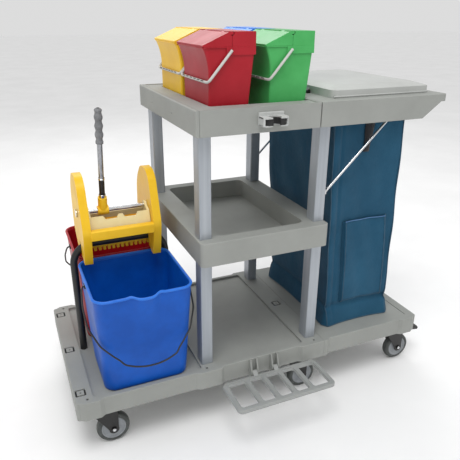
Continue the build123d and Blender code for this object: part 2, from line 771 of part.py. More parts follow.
def make_pail(x, y, name):
    """A pail with its clipped-on cap, hinged flap and swinging bail."""
    pivot_x = x + bail_pivot
    pivot_z = pail_rim_z - bail_drop
    ridge_x = x + pail_ridge
    rim_right = x + pail_rim_right
    rim = pail_rim_width / 2
    outer = pail_solid(x, y, 0.0, (pail_floor, pail_rim_z))
    inner = pail_solid(x, y, pail_wall, (pail_floor + pail_wall, pail_rim_z))
    with BuildPart() as tub:
        add(outer)
        fillet(tub.edges().filter_by(lambda edge: abs(edge.tangent_at(0.5).Z) > 0.9), 6.0)
        slab_y(
            (
                (pivot_x - 14.0, pail_rim_z - 20.0),
                (pivot_x - 14.0, pail_rim_z),
                (rim_right, pail_rim_z),
                (rim_right, pail_rim_z - 20.0),
            ),
            (y - rim, y + rim),
        )
        add(inner, mode=Mode.SUBTRACT)
        for side in (-1, 1):
            face = y + side * rim
            pin = (min(face, face + side * bail_thick), max(face, face + side * bail_thick))
            bar_y(pivot_x, pin, pivot_z, pail_pin_radius)
    keep(tub, "pail_tub_" + name)

    deck = pail_rim_z
    cap_y = (y - rim + 1.0, y + rim - 1.0)
    with BuildPart() as cap:
        block((ridge_x + 0.5, rim_right + 2.0), cap_y, (deck, pail_lid_z))
        fillet(cap.faces().sort_by(Axis.X)[-1].edges().filter_by(lambda edge: edge.center().Z > deck), 4.0)
        block((ridge_x - 1.0, rim_right - 1.0), grow(cap_y, -3.0), (deck, pail_lid_z - 3.0),
              mode=Mode.SUBTRACT)
        bar_y(ridge_x, cap_y, pail_lid_z - 4.0, knuckle_room, Mode.SUBTRACT)
        bar_y(ridge_x, (y - 70.0, y - 50.0), pail_lid_z - 4.0, 3.9)
        bar_y(ridge_x, (y + 50.0, y + 70.0), pail_lid_z - 4.0, 3.9)
        for side in (-1, 1):
            knuckle = (y + side * 60.0 - 10.0, y + side * 60.0 + 10.0)
            block((ridge_x, ridge_x + 8.0), knuckle, (pail_lid_z - 7.9, pail_lid_z - 0.1))
        bar_y(ridge_x, (y - 72.0, y + 72.0), pail_lid_z - 4.0, 1.6, Mode.SUBTRACT)
        bar_y(ridge_x, (y - 92.0, y + 92.0), pail_lid_z - 4.0, 1.6 - running_gap)
    keep(cap, "pail_cap_" + name)

    lip_x = x - pail_lip - 1.0
    front_z = deck + seat_gap
    flap_points = (
        (lip_x, front_z),
        (lip_x, front_z + 4.0),
        (ridge_x - 5.2, pail_lid_z),
        (ridge_x - 0.3, pail_lid_z),
        (ridge_x - 0.3, front_z),
    )
    hollow_points = (
        (lip_x + 8.0, front_z),
        (lip_x + 8.0, front_z + 3.0),
        (ridge_x - 6.0, pail_lid_z - 3.4),
        (ridge_x, pail_lid_z - 3.4),
        (ridge_x, front_z),
    )
    with BuildPart() as flap:
        slab_y(flap_points, cap_y)
        slab_y(hollow_points, grow(cap_y, -3.0), mode=Mode.SUBTRACT)
        bar_y(ridge_x, grow(cap_y, 1.0), pail_lid_z - 4.0, knuckle_room, Mode.SUBTRACT)
        for span in ((cap_y[0], y - 70.5), (y - 49.5, y + 49.5), (y + 70.5, cap_y[1])):
            bar_y(ridge_x, span, pail_lid_z - 4.0, 4.0)
            block((ridge_x - 9.0, ridge_x), span, (pail_lid_z - 8.0, pail_lid_z))
        bar_y(ridge_x, (y - 92.0, y + 92.0), pail_lid_z - 4.0, 1.6, Mode.SUBTRACT)
    keep(flap, "pail_flap_" + name)

    run = bail_pivot + bail_bar / 2 + 2.0
    drop = sqrt(bail_reach**2 - run**2)
    with BuildPart() as bail:
        for side in (-1, 1):
            face = y + side * (rim + seat_gap)
            span = (min(face, face + side * bail_thick), max(face, face + side * bail_thick))
            with BuildSketch(Plane.XZ.offset(-span[1])) as arm:
                with BuildLine() as spine:
                    Line((pivot_x, pivot_z), (pivot_x - run, pivot_z - drop))
                trace(spine.line, 8.0)
                with Locations((pivot_x, pivot_z), (pivot_x - run, pivot_z - drop)):
                    Circle(4.0)
                with Locations((pivot_x, pivot_z)):
                    Circle(5.4)
                    Circle(pail_pin_radius + running_gap, mode=Mode.SUBTRACT)
            extrude(arm.sketch, amount=bail_thick)
        cross = rim + seat_gap + bail_thick
        for rail in (-1.0, 1.0):
            along = (rail * 3.0 * drop / bail_reach, -rail * 3.0 * run / bail_reach)
            bar_y(pivot_x - run + along[0], (y - cross, y + cross), pivot_z - drop + along[1], 1.8)
        for step in range(5):
            rung = y + (step - 2) * 2 * cross / 5.0
            bar_y(pivot_x - run, (rung - 9.0, rung + 9.0), pivot_z - drop, 3.2)
    keep(bail, "pail_bail_" + name)


pail_names = (("red", "yellow"), ("green", "blue"))
for x, column in zip(pail_foot_x, pail_names):
    for y, colour in zip(pail_row_y, column):
        make_pail(x, y, colour)

# ---- mop buckets ----
mop_pivot_z = deck_floor + mop_height - mop_rim_band - 8.0
ear_length = 6.0


def mop_shell(y, inset, z):
    """The drafted bulk of a mop bucket."""
    share = [(level - deck_floor) / mop_height for level in z]
    with BuildPart() as solid:
        for level, part in zip(z, share):
            width = mop_foot[0] + part * (mop_head[0] - mop_foot[0]) - 2 * inset
            depth = mop_foot[1] + part * (mop_head[1] - mop_foot[1]) - 2 * inset
            with BuildSketch(Plane.XY.offset(level)):
                with Locations((mop_x, y)):
                    RectangleRounded(width, depth, mop_corner - inset)
        loft()
    return solid.part


def make_mop_bucket(y, way, name):
    """A tall bucket with a banded rim, a pouring spout and a wire bail in two side ears."""
    top = deck_floor + mop_height
    spout_y = y + way * (mop_head[1] / 2 + spout_out - spout_radius)
    outer = mop_shell(y, 0.0, (deck_floor, top))
    inner = mop_shell(y, mop_wall, (deck_floor + mop_wall, top))
    with BuildPart() as bucket:
        add(outer)
        with BuildSketch(Plane.XY.offset(top - mop_rim_band)):
            with Locations((mop_x, y)):
                RectangleRounded(mop_rim[0], mop_rim[1], mop_corner + 4.0)
            with Locations((mop_x, spout_y)):
                Circle(spout_radius + 4.0)
        extrude(amount=mop_rim_band)
        with Locations(Location((mop_x, spout_y, top - 1.6 * spout_radius))):
            Cone(2.0, spout_radius, 1.6 * spout_radius, align=(Align.CENTER, Align.CENTER, Align.MIN))
        for side in (-1, 1):
            outer_end = mop_x + side * (mop_rim[0] / 2 + 1.0)
            inner_end = mop_x + side * (mop_foot[0] / 2 + 8.0)
            bar_x((min(outer_end, inner_end), max(outer_end, inner_end)), y, mop_pivot_z, 8.0)
        add(inner, mode=Mode.SUBTRACT)
        with Locations(Location((mop_x, spout_y, top - 1.6 * spout_radius + 4.0))):
            Cone(1.0, spout_radius - mop_wall, 1.6 * spout_radius - 4.0,
                 align=(Align.CENTER, Align.CENTER, Align.MIN), mode=Mode.SUBTRACT)
        for side in (-1, 1):
            mouth = mop_x + side * (mop_rim[0] / 2 + 2.0)
            blind = mop_x + side * (mop_rim[0] / 2 + 1.0 - ear_length)
            bar_x((min(mouth, blind), max(mouth, blind)), y, mop_pivot_z,
                  wire_radius + loose_gap, Mode.SUBTRACT)
    keep(bucket, "mop_bucket_" + name)

    hang = Plane(
        origin=(mop_x, y, mop_pivot_z),
        x_dir=(1, 0, 0),
        z_dir=(0, cos(radians(mop_bail_tilt)), way * sin(radians(mop_bail_tilt))),
    )
    down = -1 if hang.y_dir.Z > 0 else 1
    inner_end = mop_rim[0] / 2 + 1.5 - ear_length
    outer_end = mop_rim[0] / 2 + 6.5
    half = (
        (inner_end, 0.0),
        (outer_end, 0.0),
        (mop_bail_bow, 70.0),
        (mop_bail_bow - 3.0, 140.0),
        (84.0, mop_bail_drop - 18.0),
        (60.0, mop_bail_drop),
    )
    route = [(-u, down * v) for u, v in half] + [(u, down * v) for u, v in reversed(half)]
    bends = [4.0, 30.0, 40.0, 25.0, 20.0]
    with BuildPart() as bail:
        with BuildLine(hang) as wire:
            FilletPolyline(*route, radius=bends + bends[::-1])
        with BuildSketch(Plane(origin=wire.line @ 0, z_dir=wire.line % 0)):
            Circle(wire_radius)
        sweep()
    keep(bail, "mop_bail_" + name)


make_mop_bucket(mop_y[0], -1, "blue")
make_mop_bucket(mop_y[1], 1, "red")

# ---- tube stand that carries the wringer ----
with BuildPart() as wringer_stand:
    with BuildLine(Plane.XZ.offset(-stand_y)) as path:
        FilletPolyline(
            (stand_legs[0], deck_floor),
            (stand_legs[0], stand_top),
            (stand_legs[1], stand_top),
            (stand_legs[1], deck_floor),
            radius=stand_bend,
        )
    with BuildSketch(Plane(origin=path.line @ 0, z_dir=path.line % 0)):
        Circle(stand_radius)
        Circle(stand_radius - 1.5, mode=Mode.SUBTRACT)
    sweep()
keep(wringer_stand, "wringer_stand")

# ---- wringer ----
cheek_spans = ((wringer_x[0], wringer_x[0] + cheek_thick), (wringer_x[1] - cheek_thick, wringer_x[1]))
inside = (cheek_spans[0][1], cheek_spans[1][0])


def at_stand(*points):
    """Points in Y and Z, given from the middle of the stand's top bar."""
    return tuple((stand_y + y, stand_top + z) for y, z in points)


cheek_outline = at_stand(
    (-16.0, 218.0),
    (-46.0, 196.0),
    (-86.0, 68.0),
    (-82.0, 41.0),
    (-62.0, -42.0),
    (-38.0, -42.0),
    (-30.0, -32.0),
    (54.0, -32.0),
    (118.0, 23.0),
    (100.0, 160.0),
    (44.0, 218.0),
)
hook = stand_radius + loose_gap
with BuildPart() as wringer_frame:
    for x in cheek_spans:
        slab_x(cheek_outline, x, 4.0)
        slab_x(at_stand((-hook, -77.0), (-hook, 0.0), (hook, 0.0), (hook, -77.0)), x, mode=Mode.SUBTRACT)
        bar_x(x, stand_y, stand_top, hook, Mode.SUBTRACT)
    block(grow(inside, 1.0), beam_y, beam_z)
    slab_x(at_stand((24.0, -29.0), (116.0, 15.0), (114.0, 21.0), (24.0, -23.0)), grow(inside, 1.0))
    slab_x(at_stand((110.0, 15.0), (103.0, 62.0), (109.0, 63.0), (116.0, 15.0)), grow(inside, 1.0))
    tooth_pitch = (inside[1] - inside[0]) / tooth_count
    for tooth in range(tooth_count):
        x = inside[0] + (tooth + 0.5) * tooth_pitch
        slab_x(at_stand((16.0, -35.0), (16.0, -19.0), (28.0, -21.0), (28.0, -29.0)), (x - 3.5, x + 3.5))
        slab_x(
            at_stand((36.0, -33.0), (36.0, -9.0), (94.0, 21.0), (94.0, -9.0)),
            (x + 4.4, x + 8.0),
            mode=Mode.SUBTRACT,
        )
    for x in cheek_spans:
        bar_x(grow(x, 1.0), shaft_y, shaft_z, shaft_radius + running_gap, Mode.SUBTRACT)
keep(wringer_frame, "wringer_frame")

play = 1.5
with BuildPart() as wringer_shaft:
    bar_x((wringer_x[0] - 3.0, wringer_x[1] + 3.0), shaft_y, shaft_z, shaft_radius)
    bar_x((wringer_x[0] - 5.0, wringer_x[0] - 1.0), shaft_y, shaft_z, shaft_radius + 5.0)
    bar_x((wringer_x[1] + 1.0, wringer_x[1] + 5.0), shaft_y, shaft_z, shaft_radius + 5.0)
keep(wringer_shaft, "wringer_shaft")

lever_plane = Plane(
    origin=(socket_x, shaft_y, shaft_z),
    x_dir=(1, 0, 0),
    z_dir=(0, -sin(radians(lever_lean)), cos(radians(lever_lean))),
)
lever_length = (lever_top - shaft_z) / cos(radians(lever_lean))
socket_length = 44.0
with BuildPart() as lever_socket:
    bar_x((socket_x - 16.0, socket_x + 16.0), shaft_y, shaft_z, shaft_radius + 7.0)
    with BuildSketch(lever_plane):
        Circle(lever_radius + 6.0)
    extrude(amount=socket_length)
    with BuildSketch(lever_plane.offset(shaft_radius + 4.0)):
        Circle(lever_radius)
    extrude(amount=socket_length, mode=Mode.SUBTRACT)
    bar_x((socket_x - 20.0, socket_x + 20.0), shaft_y, shaft_z, shaft_radius + running_gap,
          Mode.SUBTRACT)
keep(lever_socket, "lever_socket")

with BuildPart() as lever_tube:
    with BuildSketch(lever_plane.offset(shaft_radius + 4.0)):
        Circle(lever_radius)
        Circle(lever_radius - 1.5, mode=Mode.SUBTRACT)
    extrude(amount=lever_length - shaft_radius - 10.0)
keep(lever_tube, "lever_tube")

with BuildPart() as lever_grip:
    with BuildSketch(lever_plane.offset(lever_length - grip_length)):
        Circle(grip_outer)
    extrude(amount=grip_length)
    fillet(lever_grip.edges().filter_by(GeomType.CIRCLE), 3.0)
    with BuildSketch(lever_plane.offset(lever_length - grip_length)):
        Circle(lever_radius)
    extrude(amount=grip_length - 6.0, mode=Mode.SUBTRACT)
keep(lever_grip, "lever_grip")

# ---- press plate: swings on the same shaft and squeezes towards the back of the basket ----
with BuildPart() as press_plate:
    plate_span = grow(inside, -play)
    slab_x(at_stand((-64.0, 48.0), (-46.0, 100.0), (-41.0, 98.0), (-59.0, 46.0)), plate_span)
    for mid in (0.36, 0.68):
        notch = plate_span[0] + mid * (plate_span[1] - plate_span[0])
        slab_y(
            (
                (notch - 16.0, stand_top + 88.0),
                (notch - 26.0, stand_top + 104.0),
                (notch + 26.0, stand_top + 104.0),
                (notch + 16.0, stand_top + 88.0),
            ),
            (stand_y - 70.0, stand_y - 30.0),
            mode=Mode.SUBTRACT,
        )
    rib_start = plate_span[0] + 4.0
    for x in (rib_start, (plate_span[0] + plate_span[1]) / 2 - 2.0, plate_span[1] - 8.0):
        slab_x(at_stand((-61.0, 48.0), (-52.0, 76.0), (-34.0, 68.0), (-42.0, 50.0)), (x, x + 4.0))
    slab_x(at_stand((10.0, 72.0), (8.0, 90.0), (13.0, 90.6), (15.0, 72.6)), plate_span)
    for x in (plate_span[0], plate_span[1] - 7.0):
        arm = at_stand((-58.0, 66.0), (-46.0, 99.0), (-10.0, 113.0), (14.0, 88.0), (12.0, 72.0))
        slab_x(arm, (x, x + 7.0))
        bar_x((x, x + 7.0), shaft_y, shaft_z, shaft_radius + 6.0)
        bar_x((x - 1.0, x + 8.0), shaft_y, shaft_z, shaft_radius + running_gap, Mode.SUBTRACT)
keep(press_plate, "press_plate")

# ---- folding rack ----
slot_count = 5
slot_room = rack_x[1] - rack_x[0] - (slot_count + 1) * rack_rail
slot_unit = slot_room / (slot_count - 2 + 2 * rack_wide)
with BuildPart() as footrest_rack:
    block(rack_x, rack_y, rack_z, 16.0)
    start = rack_x[0] + rack_rail
    for slot in range(slot_count):
        width = slot_unit * (rack_wide if slot in (0, slot_count - 1) else 1.0)
        block((start, start + width), grow(rack_y, -rack_rail), rack_z, 8.0, Mode.SUBTRACT)
        start = start + width + rack_rail
    fillet(footrest_rack.faces().sort_by(Axis.Z)[-1].outer_wire().edges(), 3.0)
    lug_half = clip_slot / 2 - 0.5
    for x in clip_pitch_x:
        lug = (x - lug_half, x + lug_half)
        slab_x(
            (
                (rack_y[1] - 8.0, rack_z[0] + 1.0),
                (rack_y[1] - 8.0, rack_z[1] + 1.0),
                (rack_axis_y - 2.0, rack_axis_z + 5.0),
                (rack_axis_y + 3.0, rack_axis_z - 4.0),
                (rack_y[1], rack_z[0] + 1.0),
            ),
            lug,
        )
        bar_x(lug, rack_axis_y, rack_axis_z, 5.5)
        bar_x(grow(lug, 1.0), rack_axis_y, rack_axis_z, rack_pin_radius + running_gap, Mode.SUBTRACT)
keep(footrest_rack, "footrest_rack")

# ---- hinge pins of the rack and of the lid ----
with BuildPart() as hinge_pins:
    for x in clip_pitch_x:
        reach = clip_slot / 2 + clip_rib + 1.0
        bar_x((x - reach, x + reach), rack_axis_y, rack_axis_z, rack_pin_radius)
    for y in lid_hinge_y:
        bar_y(lid_hinge_x, (y - 16.0, y + 16.0), tray_z[1] + lid_hinge_rise, lid_pin_radius)
keep(hinge_pins, "hinge_pins")

# ---- screws in the deck's sockets and the tray's end cap ----
with BuildPart() as screws:
    for x, y in strip_sockets:
        upright(x, y, (deck_top - socket_depth, deck_top - 1.0), screw_head)
    for y in cap_screws_y:
        bar_x((tray_x[0] - end_cap_thick + 0.8, tray_x[0]), y, cap_screw_z, screw_head)
keep(screws, "screws")

# ---- stand the cart on the floor with its footprint centred, and write one file for each piece ----
boxes = [piece.bounding_box() for piece in pieces]
low = [min(getattr(box.min, axis) for box in boxes) for axis in "XYZ"]
high = [max(getattr(box.max, axis) for box in boxes) for axis in "XYZ"]
stand = Location((-(low[0] + high[0]) / 2, -(low[1] + high[1]) / 2, -low[2]))
os.makedirs("parts", exist_ok=True)
for piece in pieces:
    placed = piece.moved(stand)
    placed.label = piece.label
    export_step(placed, "parts/" + piece.label + ".step")
print("pieces", len(pieces), "moved by", stand.position, "size", [b - a for a, b in zip(low, high)])
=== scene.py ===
import math

import bmesh
import bpy
import numpy as np
from mathutils import Matrix, Vector


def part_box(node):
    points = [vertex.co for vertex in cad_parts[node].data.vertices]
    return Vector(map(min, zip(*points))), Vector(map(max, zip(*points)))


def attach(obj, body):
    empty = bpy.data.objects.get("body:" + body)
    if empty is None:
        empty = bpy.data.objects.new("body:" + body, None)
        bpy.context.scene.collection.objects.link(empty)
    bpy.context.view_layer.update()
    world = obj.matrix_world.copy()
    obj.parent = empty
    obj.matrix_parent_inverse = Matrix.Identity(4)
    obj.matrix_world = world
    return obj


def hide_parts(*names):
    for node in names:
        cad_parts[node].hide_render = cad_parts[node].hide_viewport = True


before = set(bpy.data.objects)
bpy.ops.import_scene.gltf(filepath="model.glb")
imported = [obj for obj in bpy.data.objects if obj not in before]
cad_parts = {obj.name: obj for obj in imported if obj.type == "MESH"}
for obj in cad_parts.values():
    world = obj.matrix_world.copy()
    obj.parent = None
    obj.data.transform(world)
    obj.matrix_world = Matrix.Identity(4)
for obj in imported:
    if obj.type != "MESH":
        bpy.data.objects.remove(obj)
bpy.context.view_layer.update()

# ---- the room: a plain pale floor, a pale surround and big soft lamps ----
# The camera stands in front of the mopping end, a little above the pails, and looks down along the cart.
deck_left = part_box("deck_main")[0][0]
deck_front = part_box("mid_shelf")[0][1]
stage = bpy.context.scene
stage.view_settings.view_transform = "Standard"


def place(x, y, z):
    """A point given in millimetres from the deck's left end, its front face and the floor."""
    return np.array([deck_left + x / 1000, deck_front + y / 1000, z / 1000])


lens_data = bpy.data.cameras.new("camera")
lens_data.lens = 40.835
lens_data.sensor_width = 36.0
camera = bpy.data.objects.new("camera", lens_data)
turn = Matrix.Rotation(math.radians(-23.574), 4, "Z")
tilt = Matrix.Rotation(math.radians(90 - 22.660), 4, "X")
roll = Matrix.Rotation(math.radians(0.350), 4, "Z")
camera.matrix_world = Matrix.Translation(place(-68.94, -1220.65, 1212.7)) @ turn @ tilt @ roll
stage.collection.objects.link(camera)
stage.camera = camera

world = bpy.data.worlds.new("surround")
world.use_nodes = True
world.node_tree.nodes["Background"].inputs["Color"].default_value = (1.0, 1.0, 1.0, 1.0)
world.node_tree.nodes["Background"].inputs["Strength"].default_value = 0.72
stage.world = world

middle = place(600, 275, 600)
for name, offset, size, power in (
    ("key_lamp", (-0.9, -1.5, 3.2), 1.6, 60.0),
    ("fill_lamp", (2.8, -1.8, 1.6), 2.6, 8.0),
    ("back_lamp", (0.4, 3.0, 2.6), 2.2, 34.0),
):
    lamp_data = bpy.data.lights.new(name, "AREA")
    lamp_data.size = size
    lamp_data.energy = power
    lamp = bpy.data.objects.new(name, lamp_data)
    aim = Matrix.Translation(middle + np.array(offset))
    to_middle = -np.array(offset) / np.linalg.norm(offset)
    facing = Vector(to_middle).to_track_quat("-Z", "Y")
    lamp.matrix_world = aim @ facing.to_matrix().to_4x4()
    stage.collection.objects.link(lamp)


def new_finish(name, **sockets):
    """A material whose constant numbers sit on the shader's own sockets."""
    material = bpy.data.materials.new(name)
    material.use_nodes = True
    shader = material.node_tree.nodes["Principled BSDF"]
    for socket, value in sockets.items():
        shader.inputs[socket.replace("_", " ")].default_value = value
    return material


def add_node(material, kind, **settings):
    """Adds a shader node; a setting is one of its properties or, failing that, one of its inputs."""
    node = material.node_tree.nodes.new("ShaderNode" + kind)
    for key, value in settings.items():
        if hasattr(node, key):
            setattr(node, key, value)
        else:
            node.inputs[key.replace("_", " ")].default_value = value
    return node


def wire(material, output, target):
    """Joins an output socket to an input socket."""
    material.node_tree.links.new(output, target)


def paint(red, green, blue):
    """A screen colour, 0 to 255, as linear light: ((c + 0.055) / 1.055) to the power 2.4 above the toe."""
    screen = np.array([red, green, blue]) / 255
    light = np.where(screen < 0.04045, screen / 12.92, ((screen + 0.055) / 1.055) ** 2.4)
    return (*light.tolist(), 1.0)


def shader_of(material):
    return material.node_tree.nodes["Principled BSDF"]


def mottle(material, dark, light, scale, low=0.35, high=0.65, stretch=(1.0, 1.0, 1.0), coords="Object"):
    """Colour that drifts between two tones with soft noise."""
    where = add_node(material, "TexCoord")
    turned = add_node(material, "Mapping")
    turned.inputs["Scale"].default_value = stretch
    noise = add_node(material, "TexNoise", Scale=scale, Detail=4.0, Roughness=0.6)
    ramp = add_node(material, "ValToRGB")
    ramp.color_ramp.elements[0].position = low
    ramp.color_ramp.elements[0].color = dark
    ramp.color_ramp.elements[1].position = high
    ramp.color_ramp.elements[1].color = light
    wire(material, where.outputs[coords], turned.inputs["Vector"])
    wire(material, turned.outputs["Vector"], noise.inputs["Vector"])
    wire(material, noise.outputs["Fac"], ramp.inputs["Fac"])
    wire(material, ramp.outputs["Color"], shader_of(material).inputs["Base Color"])
    return ramp


floor_finish = new_finish("pale_floor", Roughness=0.95, Specular_IOR_Level=0.1)
mottle(floor_finish, paint(250, 250, 250), paint(255, 255, 255), 2.0)
bpy.ops.mesh.primitive_plane_add(size=60, location=(0, 0, -0.0005))
floor = bpy.context.object
floor.name = "floor"
floor.data.materials.append(floor_finish)

# ---- grey structural mouldings: deck, shelf, tray, bag frame, clip and rack ----
# Foamed polypropylene with a fine matt grain and a gloss that drifts; the lid is paler and smoother.
def vary_gloss(material, low, high, scale, stretch=(1.0, 1.0, 1.0)):
    """Roughness that drifts between two values, as handling and moulding leave it."""
    where = add_node(material, "TexCoord")
    turned = add_node(material, "Mapping")
    turned.inputs["Scale"].default_value = stretch
    noise = add_node(material, "TexNoise", Scale=scale, Detail=3.0)
    span = add_node(material, "MapRange", To_Min=low, To_Max=high)
    wire(material, where.outputs["Object"], turned.inputs["Vector"])
    wire(material, turned.outputs["Vector"], noise.inputs["Vector"])
    wire(material, noise.outputs["Fac"], span.inputs["Value"])
    wire(material, span.outputs["Result"], shader_of(material).inputs["Roughness"])


def grain(material, scale, height, stretch=(1.0, 1.0, 1.0), detail=2.0):
    """Fine surface relief from noise, as a bump."""
    where = add_node(material, "TexCoord")
    turned = add_node(material, "Mapping")
    turned.inputs["Scale"].default_value = stretch
    noise = add_node(material, "TexNoise", Scale=scale, Detail=detail)
    bump = add_node(material, "Bump", Strength=1.0, Distance=height)
    wire(material, where.outputs["Object"], turned.inputs["Vector"])
    wire(material, turned.outputs["Vector"], noise.inputs["Vector"])
    wire(material, noise.outputs["Fac"], bump.inputs["Height"])
    wire(material, bump.outputs["Normal"], shader_of(material).inputs["Normal"])
    return bump


def dress(material, *nodes):
    """Gives CAD nodes a finish in their own material slots."""
    for node in nodes:
        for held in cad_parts[node].material_slots:
            held.material = material


grey = new_finish("grey_moulding", Roughness=0.6, Specular_IOR_Level=0.2)
mottle(grey, paint(148, 150, 146), paint(155, 157, 153), 6.0)
vary_gloss(grey, 0.48, 0.66, 14.0)
grain(grey, 900.0, 0.00025)
dress(grey, "deck_main", "deck_end", "mid_shelf", "top_tray", "tray_end_cap", "bag_frame", "clip_body")

rack_grey = new_finish("rack_grey", Roughness=0.5)
mottle(rack_grey, paint(150, 153, 151), paint(158, 160, 158), 12.0)
grain(rack_grey, 900.0, 0.0002)
dress(rack_grey, "footrest_rack")

lid_grey = new_finish("lid_grey", Roughness=0.42)
mottle(lid_grey, paint(176, 178, 175), paint(186, 188, 185), 6.0)
vary_gloss(lid_grey, 0.36, 0.5, 10.0)
grain(lid_grey, 700.0, 0.00015)
dress(lid_grey, "bag_lid")

# ---- satin aluminium posts ----
# Extruded tube: fine die lines run up its length.
satin = new_finish("satin_aluminium", Metallic=0.45, Roughness=0.42)
mottle(satin, paint(158, 164, 171), paint(174, 179, 185), 60.0, stretch=(1.0, 1.0, 0.02))
vary_gloss(satin, 0.32, 0.48, 80.0, stretch=(1.0, 1.0, 0.02))
grain(satin, 1500.0, 0.00006, stretch=(1.0, 1.0, 0.01))
dress(satin, "post_front_left", "post_rear_left", "post_front_right", "post_rear_right")

# ---- metals: plated steel, zinc and black coating ----
bright = new_finish("bright_steel", Metallic=1.0, Roughness=0.14)
mottle(bright, paint(205, 206, 208), paint(222, 222, 222), 30.0)
vary_gloss(bright, 0.10, 0.22, 60.0)
dress(bright, "stay_rods", "wringer_shaft")
zinc = new_finish("zinc_steel", Metallic=0.9, Roughness=0.35)
mottle(zinc, paint(150, 152, 156), paint(178, 180, 184), 120.0)
vary_gloss(zinc, 0.28, 0.45, 150.0)
dress(zinc, "caster_plates", "hinge_pins", "lever_tube")
black_coat = new_finish("black_coat", Roughness=0.38)
mottle(black_coat, paint(22, 22, 22), paint(32, 31, 30), 40.0)
vary_gloss(black_coat, 0.30, 0.5, 40.0)
grain(black_coat, 1100.0, 0.00012)
casters = [row + "_" + column for row in ("front", "rear") for column in ("left", "middle", "right")]
dress(black_coat, *["fork_" + name for name in casters], "brake_pedal_front", "brake_pedal_rear", "screws")
dress(black_coat, "mop_bail_blue", "mop_bail_red", "wringer_stand")
rubber = new_finish("black_rubber", Roughness=0.75, Specular_IOR_Level=0.3)
mottle(rubber, paint(34, 34, 34), paint(48, 48, 48), 60.0)
grain(rubber, 1600.0, 0.0002)
dress(rubber, "clip_jaws")

# ---- coloured plastics ----
def coloured(name, dark, light, gloss=0.34):
    """A smooth moulded plastic with faint flow marks and finger wear."""
    made = new_finish(name, Roughness=gloss, Specular_IOR_Level=0.3)
    mottle(made, dark, light, 7.0)
    vary_gloss(made, gloss - 0.05, gloss + 0.12, 18.0)
    grain(made, 420.0, 0.00006)
    return made


plastics = {
    "red": coloured("red_plastic", paint(158, 18, 32), paint(172, 28, 42)),
    "yellow": coloured("yellow_plastic", paint(238, 188, 30), paint(248, 202, 48)),
    "green": coloured("green_plastic", paint(62, 158, 82), paint(78, 176, 98)),
    "blue": coloured("blue_plastic", paint(44, 126, 226), paint(62, 142, 236)),
}
cream = coloured("cream_plastic", paint(222, 206, 150), paint(236, 222, 176), 0.4)
pale = coloured("pale_bail", paint(186, 186, 182), paint(202, 202, 198), 0.42)
for colour, finish in plastics.items():
    dress(finish, "pail_tub_" + colour, "pail_cap_" + colour, "pail_flap_" + colour)
    dress(pale, "pail_bail_" + colour)
dress(plastics["blue"], "mop_bucket_blue")
dress(plastics["red"], "mop_bucket_red")
dress(plastics["yellow"], "wringer_frame", "lever_socket")
dress(cream, "press_plate")


# ---- wheels: a rubber tyre on a grey core, with a capped axle bolt ----
# The tyre is moulded on; the core is dished between its rim and its hub.
def skin(name, grid, closed=True, uv=None, weld=True):
    """Joins a grid of points into quads: point (i, j) meets (i+1, j), (i+1, j+1) and (i, j+1)."""
    rows, columns = grid.shape[:2]
    index = np.arange(rows * columns).reshape(rows, columns)
    right = np.roll(index, -1, axis=1) if closed else index[:, 1:]
    left = index if closed else index[:, :-1]
    quads = np.stack([left[:-1], right[:-1], right[1:], left[1:]], axis=-1).reshape(-1, 4)
    mesh = bpy.data.meshes.new(name)
    mesh.from_pydata(grid.reshape(-1, 3).tolist(), [], quads.tolist())
    if uv is not None:
        layer = mesh.uv_layers.new(name="cloth")
        across, up = uv
        corner_row = quads // columns
        corner_column = quads % columns
        corner_column[:, 1:3] = np.where(corner_column[:, 1:3] == 0, columns, corner_column[:, 1:3])
        flat = np.stack([across[corner_row, corner_column], up[corner_row, corner_column]], axis=-1)
        layer.data.foreach_set("uv", flat.reshape(-1).astype(np.float32))
    if weld:
        shape = bmesh.new()
        shape.from_mesh(mesh)
        bmesh.ops.remove_doubles(shape, verts=shape.verts, dist=1e-6)
        bmesh.ops.recalc_face_normals(shape, faces=shape.faces)
        shape.to_mesh(mesh)
        shape.free()
    mesh.shade_smooth()
    piece = bpy.data.objects.new(name, mesh)
    stage.collection.objects.link(piece)
    return piece


def finish_piece(piece, material, body, slot, *replaced):
    """Gives a new piece its finish, its body and the CAD nodes it stands for; the slot argument is not used.
    """
    piece.data.materials.append(material)
    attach(piece, body)
    if replaced:
        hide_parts(*replaced)
    return piece


def turned_about_y(profile, centre, steps=96):
    """A profile of (radius, y) pairs turned about an axis along Y: (r cos t, y, r sin t) round the centre."""
    angle = np.linspace(0, 2 * np.pi, steps, endpoint=False)
    radius = np.array([point[0] for point in profile])[:, None] / 1000
    along = np.array([point[1] for point in profile])[:, None] / 1000
    ring = np.stack([radius * np.cos(angle), along + 0 * angle, radius * np.sin(angle)], axis=-1)
    return ring + centre


def rounded(points, radius, steps=5):
    """A closed outline with eased corners: (1 - t)^2 start + 2 t (1 - t) corner + t^2 end."""
    out = []
    count = len(points)
    radii = radius if hasattr(radius, "__len__") else [radius] * count
    for i in range(count):
        before, here, after = (np.array(points[(i + k) % count], float) for k in (-1, 0, 1))
        cut = min(radii[i], 0.45 * np.linalg.norm(here - before), 0.45 * np.linalg.norm(after - here))
        start = here + (before - here) / np.linalg.norm(before - here) * cut
        end = here + (after - here) / np.linalg.norm(after - here) * cut
        for t in np.linspace(0, 1, steps):
            out.append((1 - t) ** 2 * start + 2 * t * (1 - t) * here + t**2 * end)
    return out


